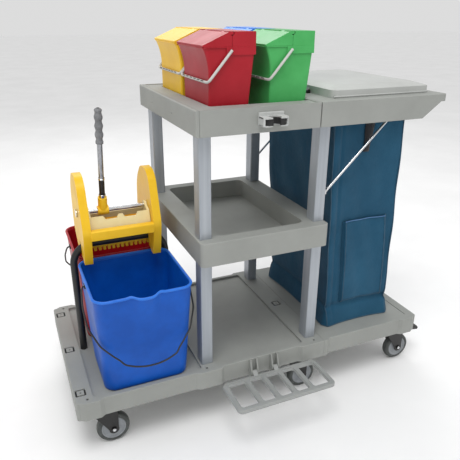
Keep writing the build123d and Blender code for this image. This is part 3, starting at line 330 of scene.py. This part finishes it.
tyre_finish = new_finish("tyre_rubber", Roughness=0.62)
mottle(tyre_finish, paint(62, 65, 64), paint(84, 88, 86), 50.0)
vary_gloss(tyre_finish, 0.5, 0.75, 70.0)
grain(tyre_finish, 900.0, 0.0003)
core_finish = new_finish("wheel_core", Roughness=0.42)
mottle(core_finish, paint(132, 136, 140), paint(150, 154, 158), 40.0)
vary_gloss(core_finish, 0.35, 0.5, 60.0)
grain(core_finish, 700.0, 0.00012)
bolt_finish = new_finish("axle_bolt", Metallic=1.0, Roughness=0.2)
mottle(bolt_finish, paint(200, 202, 205), paint(225, 226, 228), 200.0)

tyre_profile = [(37.0, -13.0), (42.0, -14.0), (47.5, -11.5), (50.0, -5.0), (50.0, 5.0), (47.5, 11.5),
                (42.0, 14.0), (37.0, 13.0)]
core_profile = [(5.1, -15.4), (9.5, -15.4), (10.5, -14.4), (11.5, -10.0), (31.0, -10.0), (33.0, -12.6),
                (36.9, -12.9), (36.9, 12.9), (33.0, 12.6), (31.0, 10.0), (11.5, 10.0), (10.5, 14.4),
                (9.5, 15.4), (5.1, 15.4)]
for name in casters:
    low, high = (np.array(corner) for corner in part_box("wheel_" + name))
    hub = (low + high) / 2
    tyre = skin("tyre_" + name, turned_about_y(rounded(tyre_profile, 2.5), hub))
    finish_piece(tyre, tyre_finish, "wheel_" + name, "wheel_tyre", "wheel_" + name)
    core = skin("core_" + name, turned_about_y(rounded(core_profile, 1.2), hub))
    finish_piece(core, core_finish, "wheel_" + name, "wheel_tyre", "wheel_" + name)
    for side, end in ((-1, low[1]), (1, high[1])):
        cap = [(0.0, 6.8), (2.5, 6.6), (4.6, 5.6), (5.6, 4.0), (5.8, 1.0), (0.0, 0.9)]
        cap = [(radius, side * (along + 2.2)) for radius, along in cap]
        bolt = skin("axle_bolt_%s_%s" % (name, "front" if side < 0 else "rear"),
                    turned_about_y(cap, np.array([hub[0], hub[1] + side * 0.0165, hub[2]]), 32))
        finish_piece(bolt, bolt_finish, "fork_" + name, "zinc_steel")

def bead(name, path, radius, material, body, slot, sides=10, replaced=()):
    """A round bead along a path: rings of points set square to the path's direction."""
    path = np.array(path, float)
    ahead = np.gradient(path, axis=0)
    ahead /= np.linalg.norm(ahead, axis=1)[:, None]
    seed = np.array([0.0, 0.0, 1.0]) if abs(ahead[0][2]) < 0.8 else np.array([1.0, 0.0, 0.0])
    first = np.cross(ahead, seed)
    first /= np.linalg.norm(first, axis=1)[:, None]
    second = np.cross(ahead, first)
    angle = np.linspace(0, 2 * np.pi, sides, endpoint=False)
    ring = first[:, None] * np.cos(angle)[None, :, None] + second[:, None] * np.sin(angle)[None, :, None]
    grid = path[:, None] + radius * ring
    grid = np.concatenate([path[:1, None] + 0 * ring[:1], grid, path[-1:, None] + 0 * ring[:1]])
    piece = skin(name, grid)
    return finish_piece(piece, material, body, slot, *replaced)


def smooth_path(points, count=160, passes=60):
    """An evenly spaced path, then eased: each pass moves a point to (before + 2 here + after) / 4."""
    points = np.array(points, float)
    run = np.concatenate([[0], np.cumsum(np.linalg.norm(np.diff(points, axis=0), axis=1))])
    path = np.stack([np.interp(np.linspace(0, run[-1], count), run, points[:, k]) for k in range(3)], axis=-1)
    for _ in range(passes):
        path[1:-1] = (path[:-2] + 2 * path[1:-1] + path[2:]) / 4
    return path


def plate(name, outline, axis, span, material, body, slot, bevel=2.0, replaced=()):
    """A flat solid: an outline in mm in the other two axes, pushed along an axis, with eased edges."""
    flat = np.array(outline, float)
    order = {"x": (2, 0, 1), "y": (0, 2, 1), "z": (0, 1, 2)}[axis]
    ends = [np.column_stack([flat, np.full(len(flat), end)])[:, order] for end in span]
    points = np.concatenate(ends) / 1000 + place(0, 0, 0)
    count = len(flat)
    here = np.arange(count)
    ahead = (here + 1) % count
    sides = np.stack([here, ahead, ahead + count, here + count], axis=-1).tolist()
    mesh = bpy.data.meshes.new(name)
    mesh.from_pydata(points.tolist(), [], [here[::-1].tolist(), (here + count).tolist()] + sides)
    shape = bmesh.new()
    shape.from_mesh(mesh)
    bmesh.ops.recalc_face_normals(shape, faces=shape.faces)
    shape.to_mesh(mesh)
    shape.free()
    piece = bpy.data.objects.new(name, mesh)
    stage.collection.objects.link(piece)
    mesh.shade_smooth()
    ease = piece.modifiers.new("eased_edges", "BEVEL")
    ease.width = bevel / 1000
    ease.segments = 3
    ease.limit_method = "ANGLE"
    ease.angle_limit = math.radians(35)
    ease.harden_normals = True
    return finish_piece(piece, material, body, slot, *replaced)


# ---- broom clip: two rubber jaws in a pale moulded holder ----
# The holder is screwed to the tray's front face; its top and bottom lips keep the jaws in.
clip_grey = new_finish("clip_grey", Roughness=0.5, Specular_IOR_Level=0.3)
mottle(clip_grey, paint(176, 178, 176), paint(190, 192, 190), 30.0)
grain(clip_grey, 900.0, 0.00015)
clip_x, clip_y = 577.5, -25.0


def clip_outline(half, front, eye):
    """Half of the outline is mirrored: a bar open to the front, with a round eye of the given radius."""
    turn_angles = np.radians(np.linspace(225, -45, 28))
    arc = [(clip_x + eye * math.cos(t), clip_y + eye * math.sin(t)) for t in turn_angles]
    left = [(clip_x - half, -6.5), (clip_x - half, front + 7), (clip_x - half + 6, front), (arc[0][0], front)]
    right = [(2 * clip_x - x, y) for x, y in reversed(left)]
    return left + arc + right


plate("clip_back", [(541, -7), (614, -7), (614, 0), (541, 0)], "z", (940, 974), clip_grey, "cart",
      "grey_moulding", 1.2, ["clip_body"])
for label, levels in (("top", (961, 965.5)), ("bottom", (941, 944.5))):
    plate("clip_lip_" + label, clip_outline(37.0, -38.0, 17.0), "z", levels, clip_grey, "cart",
          "grey_moulding", 0.8)
for label, x in (("left", 540.5), ("right", 608.0)):
    arm = [(x, -7), (x, -33), (x + 3.3, -36), (x + 6.5, -33), (x + 6.5, -7)]
    plate("clip_arm_" + label, arm, "z", (942, 965), clip_grey, "cart", "grey_moulding", 0.8)
plate("clip_jaw_pair", clip_outline(30.0, -39.0, 14.0), "z", (944, 961.4), rubber, "cart",
      "black_rubber", 1.2, ["clip_jaws"])

# ---- bag lid: rolled lower edge and black hinge knuckles ----
# The lid's wall turns out at the bottom; its two knuckles turn on pins held by the frame's ears.
lid_lip = rounded([(806, 51), (1154, 51), (1154, 504), (806, 504)], [0.1, 24.0, 24.0, 0.1], 9)
lid_lip = np.array([place(px, py, 991.6) for px, py in lid_lip[4:-4]])
bead("lid_lip", lid_lip, 0.0026, lid_grey, "bag_lid", "light_grey_moulding", sides=14)
for label, y in (("front", 190.0), ("rear", 360.0)):
    knuckle = smooth_path([place(796, y - 9.4, 995), place(796, y + 9.4, 995)], 6, 0)
    bead("lid_knuckle_" + label, knuckle, 0.0064, black_coat, "bag_lid", "black_steel", sides=28)
    for side in (-1, 1):
        span = sorted((y + side * 16.2, y + side * 24.0))
        plate("lid_ear_%s_%s" % (label, "near" if side < 0 else "far"),
              [(787, 988), (787, 996), (790, 999), (797, 999), (799, 996), (799, 988)], "y", span,
              black_coat, "cart", "black_steel", 1.0)

# ---- square sockets in the deck: painted shade in the rings ----
# A thin dark plate lies in each shallow ring, round the island with its screw: painted shade for the recess.
socket_shade_finish = new_finish("socket_ring_shade", Roughness=0.8, Specular_IOR_Level=0.2)
mottle(socket_shade_finish, paint(40, 41, 40), paint(56, 57, 56), 60.0)
for number, (x, y) in enumerate(((20, 46), (20, 271), (20, 499), (772, 271))):
    square = [(x - 14.8, y - 14.8), (x + 14.8, y - 14.8), (x + 14.8, y + 14.8), (x - 14.8, y + 14.8)]
    plate("socket_liner_%d" % (number + 1), square, "z", (199.2, 201.0), socket_shade_finish, "cart", "black_rubber", 0.3)
# Dark discs down in the lobes' holes, in the same finish: painted shade in the holes.
lobes = ((34, 11), (394, 11), (776, 11), (34, 539), (394, 539), (776, 539), (1156, 11))
for number, (x, y) in enumerate(lobes):
    disc = [(x + 3.9 * math.cos(t), y + 3.9 * math.sin(t)) for t in np.linspace(0, 2 * math.pi, 25)[:-1]]
    plate("lobe_hole_shade_%d" % (number + 1), disc, "z", (196.0, 201.0), socket_shade_finish, "cart", "black_rubber", 0.3)

# ---- small pails: rim lips and swinging bails ----
# Each bail is one moulded strap, rounded where it turns; dark beads along its grip are painted shade in its
# slots.
bail_arm, bail_pivot_z, bail_grip_z = 108.9, 1123, 1045
pail_places = {"red": (434, 173), "yellow": (434, 400), "green": (611, 173), "blue": (611, 400)}
slot_shade_finish = new_finish("slot_shadow", Roughness=0.8)
mottle(slot_shade_finish, paint(40, 40, 40), paint(62, 62, 60), 80.0)
for colour, (x, y) in pail_places.items():
    pivot_x, grip_x = x + 61, x - 6
    corners = [(pivot_x, y + bail_arm, bail_pivot_z), (grip_x, y + bail_arm, bail_grip_z),
               (grip_x, y - bail_arm, bail_grip_z), (pivot_x, y - bail_arm, bail_pivot_z)]
    route = smooth_path(np.array([place(*corner) for corner in corners]), 150, 16)
    bead("pail_bail_strap_" + colour, route, 0.0037, pale, "bail_" + colour, "pale_bail", sides=16,
         replaced=["pail_bail_" + colour])
    # Painted shade: one dark bead in each slot of the grip.
    for step in range(6):
        middle_y = y + (step - 2.5) * 29
        ends = [place(grip_x - 2.4, middle_y + reach, bail_grip_z + 1.9) for reach in (-10, 10)]
        bead("pail_bail_slot_%s_%d" % (colour, step + 1), smooth_path(ends, 6, 0), 0.0013, slot_shade_finish,
             "bail_" + colour, "black_rubber")
    rim = rounded([(x - 17, y - 103.5), (x + 131, y - 103.5), (x + 131, y + 103.5), (x - 17, y + 103.5)], 8.0)
    rim = np.array([place(px, py, 1129.4) for px, py in rim + rim[:2]])
    bead("pail_rim_lip_" + colour, rim, 0.0015, plastics[colour], "pail_" + colour, colour + "_plastic")

# ---- lever grip: a soft grey sleeve with finger waves ----
# It is pushed over the top of the wringer's tube, and leans with it.
grip_low, grip_high = (np.array(corner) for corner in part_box("lever_grip"))
lean = math.radians(13.0)
lever_axis = np.array([0.0, -math.sin(lean), math.cos(lean)])
sideways = np.array([0.0, math.cos(lean), math.sin(lean)])
grip_radius = (grip_high[0] - grip_low[0]) / 2
grip_top = np.array([(grip_low[0] + grip_high[0]) / 2, grip_low[1] + grip_radius * math.cos(lean),
                     grip_high[2] - grip_radius * math.sin(lean)])
grip_length, wave_count = 0.102, 4.0
along = np.linspace(0, grip_length, 90)
waves = 0.0104 + 0.0013 * np.cos(along / grip_length * 2 * np.pi * wave_count)
waves = waves * np.clip((along + 0.0006) / 0.006, 0, 1) ** 0.5
waves[along > 0.098] *= 0.92
angle = np.linspace(0, 2 * np.pi, 48, endpoint=False)
centre = grip_top - along[:, None] * lever_axis
ring = np.stack([np.cos(angle), 0 * angle, 0 * angle], axis=-1) + np.sin(angle)[:, None] * sideways
grip = skin("lever_grip_sleeve", centre[:, None, :] + waves[:, None, None] * ring)
grip_finish = new_finish("grey_grip", Roughness=0.6)
mottle(grip_finish, paint(112, 113, 115), paint(132, 133, 135), 60.0)
vary_gloss(grip_finish, 0.5, 0.7, 50.0)
grain(grip_finish, 1200.0, 0.0002)
finish_piece(grip, grip_finish, "wringer_lever", "grey_grip", "lever_grip")
shaft_y, shaft_z = 270, 666
lever_foot = place(167, shaft_y, shaft_z)
for label, start, end, radius, finish, slot in (
    ("lever_ring", 0.045, 0.054, 0.0102, bright, "bright_steel"),
    ("lever_sleeve", 0.054, 0.104, 0.0083, black_coat, "black_steel"),
    ("lever_collar", 0.104, 0.109, 0.0092, bright, "bright_steel"),
):
    stretch_line = [lever_foot + lever_axis * t for t in (start, start + 0.0005, end - 0.0005, end)]
    bead(label, stretch_line, radius, finish, "wringer_lever", slot, sides=32)

# ---- mop buckets: tall drafted buckets with a rolled rim and a pouring spout ----
# Injection moulded: the wall turns over at the rim and swells into the spout at the middle of one long side.
def bucket_ring(half_x, half_y, corner):
    """A rounded rectangle: four quarter arcs of the corner radius, joined by evenly spaced straight runs."""
    corner = min(corner, 0.98 * half_x, 0.98 * half_y)
    turn = np.linspace(0, np.pi / 2, 12)
    arcs = []
    for quarter, (sx, sy) in enumerate(((1, 1), (-1, 1), (-1, -1), (1, -1))):
        t = turn + quarter * np.pi / 2
        arcs.append(np.stack([sx * (half_x - corner) + corner * np.cos(t),
                              sy * (half_y - corner) + corner * np.sin(t)]))
    runs = []
    for quarter in range(4):
        start, end = arcs[quarter][:, -1:], arcs[(quarter + 1) % 4][:, :1]
        runs += [arcs[quarter], start + (end - start) * np.linspace(0, 1, 62)[1:-1]]
    return np.concatenate(runs, axis=1)


def spouted(x, y, height, way):
    """The spout pushes the wall out near the middle and raises a small peak on each side of it."""
    on_side = (y * way > 0.05).astype(float)
    near = np.exp(-((x / 0.031) ** 4)) * on_side * np.clip((height - 205) / 100, 0, 1) ** 1.5
    peaks = np.exp(-(((np.abs(x) - 0.040) / 0.011) ** 2)) * on_side * (height > 300)
    dip = np.exp(-((x / 0.026) ** 2)) * on_side * (height > 300)
    return y + way * 0.0150 * near, 0.0030 * peaks - 0.0022 * dip


bucket_height, bucket_wall = 318, 0.0035


def mop_bucket(name, wall_finish, rim_painted_light_finish, slot, way):
    """Rows climb the outside to the rim and go down the inside to the middle of the floor."""
    low, high = (np.array(corner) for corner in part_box("mop_bucket_" + name))
    mid_x = (low[0] + high[0]) / 2
    mid_y = high[1] - 0.144 if way < 0 else low[1] + 0.144
    heights = np.array([0.3, 1.6, 4.0, 8.0] + list(np.linspace(16, 300, 46)) + [306, 312])
    half_x = 0.125 + heights / bucket_height * 0.0135
    half_y = 0.107 + heights / bucket_height * 0.0325
    tuck = np.array([0.004, 0.0015, 0.0004, 0.0] + [0.0] * 48)
    rows = [(0.0, 0.0, 0.0), (0.0, 0.06, 0.05), (0.0, 0.115, 0.098)]
    rows += list(zip(heights, half_x - tuck, half_y - tuck))
    inside = zip(heights[::-1], half_x[::-1], half_y[::-1])
    rows += [(h, hx - bucket_wall, hy - bucket_wall) for h, hx, hy in inside if h > 5]
    rows += [(4.4, 0.116, 0.098), (3.6, 0.100, 0.084), (3.5, 0.05, 0.05), (3.5, 0.0, 0.0)]
    grid = []
    for height, hx, hy in rows:
        x, y = bucket_ring(max(hx, 1e-6), max(hy, 1e-6), 0.034)
        y, rise = spouted(x, y, height, way)
        grid.append(np.stack([mid_x + x, mid_y + y, low[2] + height / 1000 + rise], axis=-1))
    shell = skin("mop_bucket_shell_" + name, np.stack(grid))
    finish_piece(shell, wall_finish, "cart", slot, "mop_bucket_" + name)

    roll = []
    for t in np.linspace(0, 2 * np.pi, 18):
        out, up = 0.0040 * np.cos(t), 0.0042 * np.sin(t)
        x, y = bucket_ring(0.1378 + out, 0.1388 + out, 0.036 + out)
        y, rise = spouted(x, y, 312, way)
        roll.append(np.stack([mid_x + x, mid_y + y, low[2] + 0.3130 + up + rise], axis=-1))
    # The rolled rim takes a lighter copy of the wall's plastic: painted light on its top.
    rim = skin("mop_bucket_rim_" + name, np.stack(roll))
    finish_piece(rim, rim_painted_light_finish, "cart", slot)
    for side in (-1, 1):
        profile = rounded([(0.0, 0.0), (8.5, 0.0), (8.5, 9.0), (0.0, 9.0)], 1.2)
        ring = turned_about_y(profile, np.zeros(3), 40)
        ear = np.stack([side * (ring[..., 1] + 0.1345), ring[..., 0], ring[..., 2]], axis=-1)
        label = "left" if side < 0 else "right"
        piece = skin("mop_ear_%s_%s" % (name, label), ear + np.array([mid_x, mid_y, low[2] + 0.301]))
        finish_piece(piece, black_coat, "cart", "black_steel")

    half = [(0.0, 144), (0.0, 149), (14, 152), (62, 157), (120, 154), (178, 130), (216, 96), (226, 84),
            (240, 76), (252, 44), (257, 16)]
    route = [(-reach, drop) for drop, reach in half] + [(reach, drop) for drop, reach in reversed(half)]
    tilt_angle = math.radians(42)
    ahead, down = way * math.sin(tilt_angle) / 1000, math.cos(tilt_angle) / 1000
    points = [np.array([mid_x + reach / 1000, mid_y + drop * ahead, low[2] + 0.301 - drop * down])
              for reach, drop in route]
    bead("mop_bail_wire_" + name, smooth_path(points, 220, 9), 0.0025, black_coat, "mop_bail_" + name,
         "black_steel", sides=12, replaced=["mop_bail_" + name])


mop_blue = coloured("mop_blue", paint(0, 76, 170), paint(4, 92, 196), 0.38)
mop_red = coloured("mop_red", paint(146, 10, 22), paint(164, 20, 32), 0.34)
# The rims are lighter copies of the wall plastic: painted light on the rolled rim, where the top catches the
# lamps.
rim_blue_painted_light = coloured("rim_blue_painted_light", paint(34, 104, 206), paint(50, 122, 222), 0.34)
rim_red_painted_light = coloured("rim_red_painted_light", paint(160, 20, 32), paint(178, 32, 44), 0.34)
mop_bucket("blue", mop_blue, rim_blue_painted_light, "blue_plastic", -1)
mop_bucket("red", mop_red, rim_red_painted_light, "red_plastic", 1)

# ---- wringer: two moulded cheeks joined by a beam and a ribbed press wall ----
# Yellow mouldings with eased edges; a comb of drip teeth hangs along the front of the press floor.
stand_y, stand_top = 276.0, 562.0


def at_stand(*points):
    """Points in Y and Z, given from the middle of the stand's top bar."""
    return [(stand_y + y, stand_top + z) for y, z in points]


hook = [(11.3 * math.cos(t), 11.3 * math.sin(t)) for t in np.linspace(math.pi, 0, 15)]
cheek = [(-16, 218), (-46, 196), (-86, 68), (-82, 41), (-62, -42), (-38, -42), (-30, -32)]
cheek_back = [(54, -32), (118, 23), (100, 160), (44, 218)]
front = rounded(cheek + [(-11.3, -32)] + [(11.3, -32)] + cheek_back,
                [34, 34, 26, 18, 3, 3, 4, 0.5, 0.5, 10, 24, 44, 44])
split = next(i for i, (y, z) in enumerate(front) if abs(y - 11.3) < 1.0 and abs(z + 32) < 1.0)
cheek_line = [tuple(point) for point in front[:split]] + hook + [tuple(point) for point in front[split:]]
for label, span in (("left", (92, 116)), ("right", (299, 323))):
    plate("wringer_cheek_" + label, at_stand(*cheek_line), "x", span, plastics["yellow"], "wringer",
          "yellow_plastic", 3.0, ["wringer_frame"])
between = (115, 300)
beam = at_stand((-86, 40), (-86, 66), (-83, 69), (-66, 69), (-66, 40))
plate("wringer_beam", beam, "x", between, plastics["yellow"], "wringer", "yellow_plastic", 1.6)
press_floor = at_stand((24, -29), (116, 15), (109, 63), (103, 62), (109.5, 19), (24, -22))
plate("wringer_floor", press_floor, "x", between, plastics["yellow"], "wringer", "yellow_plastic", 1.2)
teeth, comb_left, comb_right = 13, 116, 299
pitch = (comb_right - comb_left) / teeth
comb = [(comb_left, -19), (comb_right, -19)]
for tooth in reversed(range(teeth)):
    x = comb_left + (tooth + 0.5) * pitch
    comb += [(x + 4.4, -24), (x + 4.0, -36), (x - 4.0, -36), (x - 4.4, -24)]
plate("wringer_comb", [(x, stand_top + z) for x, z in comb], "y", (stand_y + 15, stand_y + 29),
      plastics["yellow"], "wringer", "yellow_plastic", 1.2)
for label, x in (("left", 118.0), ("right", 297.0)):
    profile = rounded([(7.2, -1.6), (13.0, -1.6), (13.0, 1.6), (7.2, 1.6)], 0.6)
    washer = turned_about_y(profile, np.zeros(3), 40)
    washer = washer[..., [1, 0, 2]] + place(x, shaft_y, shaft_z)
    finish_piece(skin("shaft_washer_" + label, washer), bright, "wringer", "bright_steel")

# ---- waste bag: a sewn bag of coated cloth hung in the frame ----
# Four panels seamed up the corners, a stiff turned foot that flares on the deck, and faces that sag inward.
bag_low, bag_high = (np.array(corner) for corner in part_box("waste_bag"))
cloth_blue = new_finish("bag_cloth", Roughness=0.72, Specular_IOR_Level=0.15, Sheen_Weight=0.08,
                        Sheen_Roughness=0.5)
mottle(cloth_blue, paint(26, 72, 98), paint(40, 90, 118), 5.0, 0.3, 0.7)
uv_read = add_node(cloth_blue, "TexCoord")
weave_waves = []
for direction in ("X", "Y"):
    wave = add_node(cloth_blue, "TexWave", Scale=420.0, Distortion=0.4)
    wave.bands_direction = direction
    wire(cloth_blue, uv_read.outputs["UV"], wave.inputs["Vector"])
    weave_waves.append(wave)
weave = add_node(cloth_blue, "Math", operation="MAXIMUM")
wire(cloth_blue, weave_waves[0].outputs["Fac"], weave.inputs[0])
wire(cloth_blue, weave_waves[1].outputs["Fac"], weave.inputs[1])
creases = add_node(cloth_blue, "TexNoise", Scale=22.0, Detail=5.0, Roughness=0.65)
crease_where = add_node(cloth_blue, "TexCoord")
wire(cloth_blue, crease_where.outputs["Object"], creases.inputs["Vector"])
weave_bump = add_node(cloth_blue, "Bump", Strength=0.5, Distance=0.0003)
crease_bump = add_node(cloth_blue, "Bump", Strength=0.8, Distance=0.004)
wire(cloth_blue, weave.outputs[0], weave_bump.inputs["Height"])
wire(cloth_blue, creases.outputs["Fac"], crease_bump.inputs["Height"])
wire(cloth_blue, crease_bump.outputs["Normal"], weave_bump.inputs["Normal"])
wire(cloth_blue, weave_bump.outputs["Normal"], shader_of(cloth_blue).inputs["Normal"])


def bag_extent(height):
    """Half sizes and middle of the bag's section: straight lines from foot to head, with a slight waist."""
    share = (height - bag_low[2]) / (bag_high[2] - bag_low[2])
    left = bag_low[0] + 0.042 * (1 - share)
    right = bag_high[0] - 0.006 - 0.032 * share
    front = bag_low[1] + 0.0245 - 0.0175 * share
    back = bag_high[1] - 0.009 * (1 - share)
    return left, right, front, back


def bag_section(height, inset, walk):
    """A panelled section: each side's points run straight and then sag in by a share of (1 - s squared)."""
    left, right, front, back = bag_extent(height)
    share = (height - bag_low[2]) / (bag_high[2] - bag_low[2])
    side = np.floor(walk).astype(int) % 4
    s = (walk - np.floor(walk)) * 2 - 1
    corner_x = np.array([left, right, right, left, left])
    corner_y = np.array([front, front, back, back, front])
    t = (s + 1) / 2
    x = corner_x[side] * (1 - t) + corner_x[side + 1] * t
    y = corner_y[side] * (1 - t) + corner_y[side + 1] * t
    inward_x = np.array([0, -1, 0, 1])[side]
    inward_y = np.array([1, 0, -1, 0])[side]
    hang = np.sin(np.pi * np.clip(share, 0, 1)) ** 0.7
    sag = (0.006 + 0.007 * hang) * (1 - s**2) ** 1.2
    sag = sag + 0.0016 * np.sin(9.0 * s + 2.0 * side + 14.0 * share) * hang * (1 - s**2)
    sag = sag + 0.0022 * np.exp(-((share - 0.93) / 0.10) ** 2) * np.cos(11.0 * s + side) * (1 - s**2)
    round_off = 0.0045 * np.abs(s) ** 24
    kick = np.clip(1 - share / 0.085, 0, 1) ** 0.9
    flare = 0.016 * kick * (0.65 + 0.35 * s**4) - 0.005 * np.exp(-(((share - 0.092) / 0.014) ** 2))
    crease = 0.0045 * np.exp(-(((s + 0.80 - 0.05 * share) / 0.045) ** 2)) * (side == 0)
    crease = crease * np.clip(share * 8, 0, 1)
    ripple = 0.0022 * np.sin(21.0 * share + 1.5 * side) * np.abs(s) ** 3 * hang
    x = x + inward_x * (sag + round_off + inset - flare + crease + ripple)
    y = y + inward_y * (sag + round_off + inset - flare + crease + ripple)
    return x, y


walk = np.linspace(0, 4, 241)[:-1]
foot_shares = [0.0, 0.35, 0.7, 0.9, 0.97]
levels = np.concatenate([np.linspace(0, 0.10, 26), np.linspace(0.11, 1.0, 92)])
bag_rows = []
bag_mid = np.array([(bag_low[0] + 0.042 + bag_high[0]) / 2,
                    (bag_low[1] + 0.0215 + bag_high[1] - 0.009) / 2])
for share in foot_shares:
    x, y = bag_section(bag_low[2], 0.0, walk)
    bag_rows.append(np.stack([bag_mid[0] + (x - bag_mid[0]) * share, bag_mid[1] + (y - bag_mid[1]) * share,
                              np.full_like(x, bag_low[2] + 0.0004)], axis=-1))
for level in levels:
    height = bag_low[2] + 0.0004 + level * (bag_high[2] - bag_low[2] - 0.002)
    x, y = bag_section(height, 0.0, walk)
    bag_rows.append(np.stack([x, y, np.full_like(x, height)], axis=-1))
bag_grid = np.stack(bag_rows)
around = np.concatenate([walk, [4.0]])[None, :] * 0.36 + 0 * np.arange(len(bag_rows))[:, None]
up = np.concatenate([np.array(foot_shares) * 0.2 - 0.2, levels * 0.77])[:, None] + 0 * around
bag = skin("waste_bag_cloth", bag_grid, uv=(around, up))
thick = bag.modifiers.new("cloth_thickness", "SOLIDIFY")
thick.thickness = 0.0016
thick.offset = -1.0
finish_piece(bag, cloth_blue, "cart", "bag_cloth", "waste_bag")

# ---- bag seams: a raised bound edge up each corner and round the foot ----
# The panels are joined by a narrow folded binding that stands a little proud.
binding = new_finish("seam_binding", Roughness=0.7, Sheen_Weight=0.2)
mottle(binding, paint(26, 68, 92), paint(38, 84, 110), 40.0)
grain(binding, 1500.0, 0.0003)
seam_levels = np.linspace(0.0, 0.985, 120)
for corner in range(4):
    line = []
    for level in seam_levels:
        height = bag_low[2] + 0.002 + level * (bag_high[2] - bag_low[2] - 0.004)
        x, y = bag_section(height, 0.0, np.array([corner + 0.002]))
        line.append((x[0], y[0], height))
    bead("bag_seam_%d" % corner, line, 0.0018, binding, "cart", "bag_cloth")
fine_walk = np.linspace(0, 4, 321)[:-1]
for label, level in (("foot", 0.004), ("head", 0.993)):
    height = bag_low[2] + level * (bag_high[2] - bag_low[2])
    x, y = bag_section(height, -0.0004, fine_walk)
    hem = np.stack([x, y, np.full_like(x, height)], axis=-1)
    bead("bag_hem_" + label, np.concatenate([hem, hem[:2]]), 0.0017, binding, "cart", "bag_cloth")

# ---- bag pocket: a gusseted pouch sewn to the front panel ----
# A flat front with a bound top edge, and bellows sides that fold in towards the panel.
def front_face(x, z):
    """Y of the bag's front panel at a place: its straight line plus the panel's sag."""
    left, right, front, back = bag_extent(z)
    s = np.clip((x - left) / (right - left), 0, 1)
    share = (z - bag_low[2]) / (bag_high[2] - bag_low[2])
    span = s * 2 - 1
    hang = math.sin(math.pi * share) ** 0.7
    sag = (0.006 + 0.007 * hang) * (1 - span**2) ** 1.2
    return front + sag


def pocket_edges(z):
    """Left and right edge of the pouch at a height: it leans with the bag."""
    share = (z - 0.290) / 0.300
    return place(906 - 16 * share, 0, 0)[0], place(1083 - 22 * share, 0, 0)[0]


pouch_rows = []
pouch_foot, pouch_head = 0.287, 0.590
pouch_heights = np.linspace(pouch_foot, pouch_head, 60)
for z in pouch_heights:
    left_x, right_x = pocket_edges(z)
    share = (z - pouch_foot) / 0.303
    puff = 0.0135 * (0.55 + 0.45 * math.sin(math.pi * min(share * 1.05, 1.0)) ** 0.5)
    puff = puff * min(1.0, (share + 0.02) / 0.05) if share < 0.04 else puff
    s = np.linspace(-1, 1, 70)
    x_mid = left_x + (s + 1) / 2 * (right_x - left_x)
    base = front_face(x_mid, z)
    flat = front_face(np.array([(left_x + right_x) / 2]), z)[0]
    body_y = np.minimum(base, flat + 0.002) - puff + 0.0015 * np.cos(7 * s + 5 * share) * (1 - s**2)
    wall = np.clip((1 - np.abs(s)) / 0.06, 0, 1)
    fold = np.where(wall < 1, np.sin(np.pi * wall) * 0.006 * np.sign(-s), 0.0)
    y = base - 0.0008 + (body_y - base + 0.0008) * wall
    pouch_rows.append(np.stack([x_mid + fold, y, np.full_like(s, z + 0.004 * share * (s > 0.96))], axis=-1))
pouch_grid = np.stack(pouch_rows)
pouch = skin("bag_pocket", pouch_grid, closed=False, weld=False)
pouch_wall = pouch.modifiers.new("cloth_thickness", "SOLIDIFY")
pouch_wall.thickness = 0.0015
finish_piece(pouch, cloth_blue, "cart", "bag_cloth")
piping = new_finish("pocket_piping", Roughness=0.6, Sheen_Weight=0.2)
mottle(piping, paint(60, 104, 150), paint(76, 122, 168), 60.0)
grain(piping, 1500.0, 0.0002)
top_line = pouch_grid[-1][3:-3] + np.array([0.0, -0.0006, 0.0])
bead("pocket_piping", top_line, 0.0016, piping, "cart", "bag_cloth")
for label, column in (("left", 4), ("right", -5)):
    edge = pouch_grid[:, column] + np.array([0.0, -0.0008, 0.0])
    bead("pocket_edge_" + label, edge, 0.0013, binding, "cart", "bag_cloth")

# ---- webbing strap: hangs from the frame at the bag's head ----
# Black ribbed webbing, doubled at the top and folded narrow at its free end.
webbing = new_finish("black_webbing", Roughness=0.8, Sheen_Weight=0.15)
mottle(webbing, paint(20, 20, 24), paint(34, 34, 38), 90.0)
grain(webbing, 1400.0, 0.0004, stretch=(0.2, 1.0, 3.0))
strap_x = place(951, 0, 0)[0]
strap_points = []
strap_head, strap_end = 0.916, 0.818
for z in np.linspace(strap_head, strap_end, 24):
    strap_y = front_face(np.array([strap_x]), z)[0] - 0.004
    strap_points.append((strap_x - 0.004 * (strap_head - z) / 0.1, strap_y, z))
strap_path = np.array(strap_points)
strap_levels = [strap_end, 0.86, 0.875, strap_head]
widths = np.interp(strap_path[:, 2], strap_levels, [0.021, 0.022, 0.030, 0.034])
half = np.stack([widths / 2, 0 * widths, 0 * widths], axis=-1)
strap_grid = np.stack([strap_path - half, strap_path - half * 0.3 - [0, 0.0008, 0],
                       strap_path + half * 0.3 - [0, 0.0008, 0], strap_path + half], axis=1)
strap = skin("bag_strap", strap_grid, closed=False, weld=False)
strap_wall = strap.modifiers.new("band_thickness", "SOLIDIFY")
strap_wall.thickness = 0.0018
finish_piece(strap, webbing, "cart", "bag_cloth")

# ---- sleeve on the rear stay ----
# A black plastic tube pushed over the upper end of the rear rod.
stay_low, stay_high = (np.array(corner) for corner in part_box("stay_rods"))
rod_start = np.array([stay_low[0] + 0.005, stay_high[1] - 0.004, stay_low[2] + 0.006])
rod_end = np.array([stay_high[0] - 0.006, stay_high[1] - 0.004, stay_high[2] - 0.005])
sleeve_path = [rod_start + (rod_end - rod_start) * t for t in np.linspace(0.45, 0.95, 30)]
bead("stay_sleeve", sleeve_path, 0.0062, black_coat, "cart", "black_steel", sides=24)
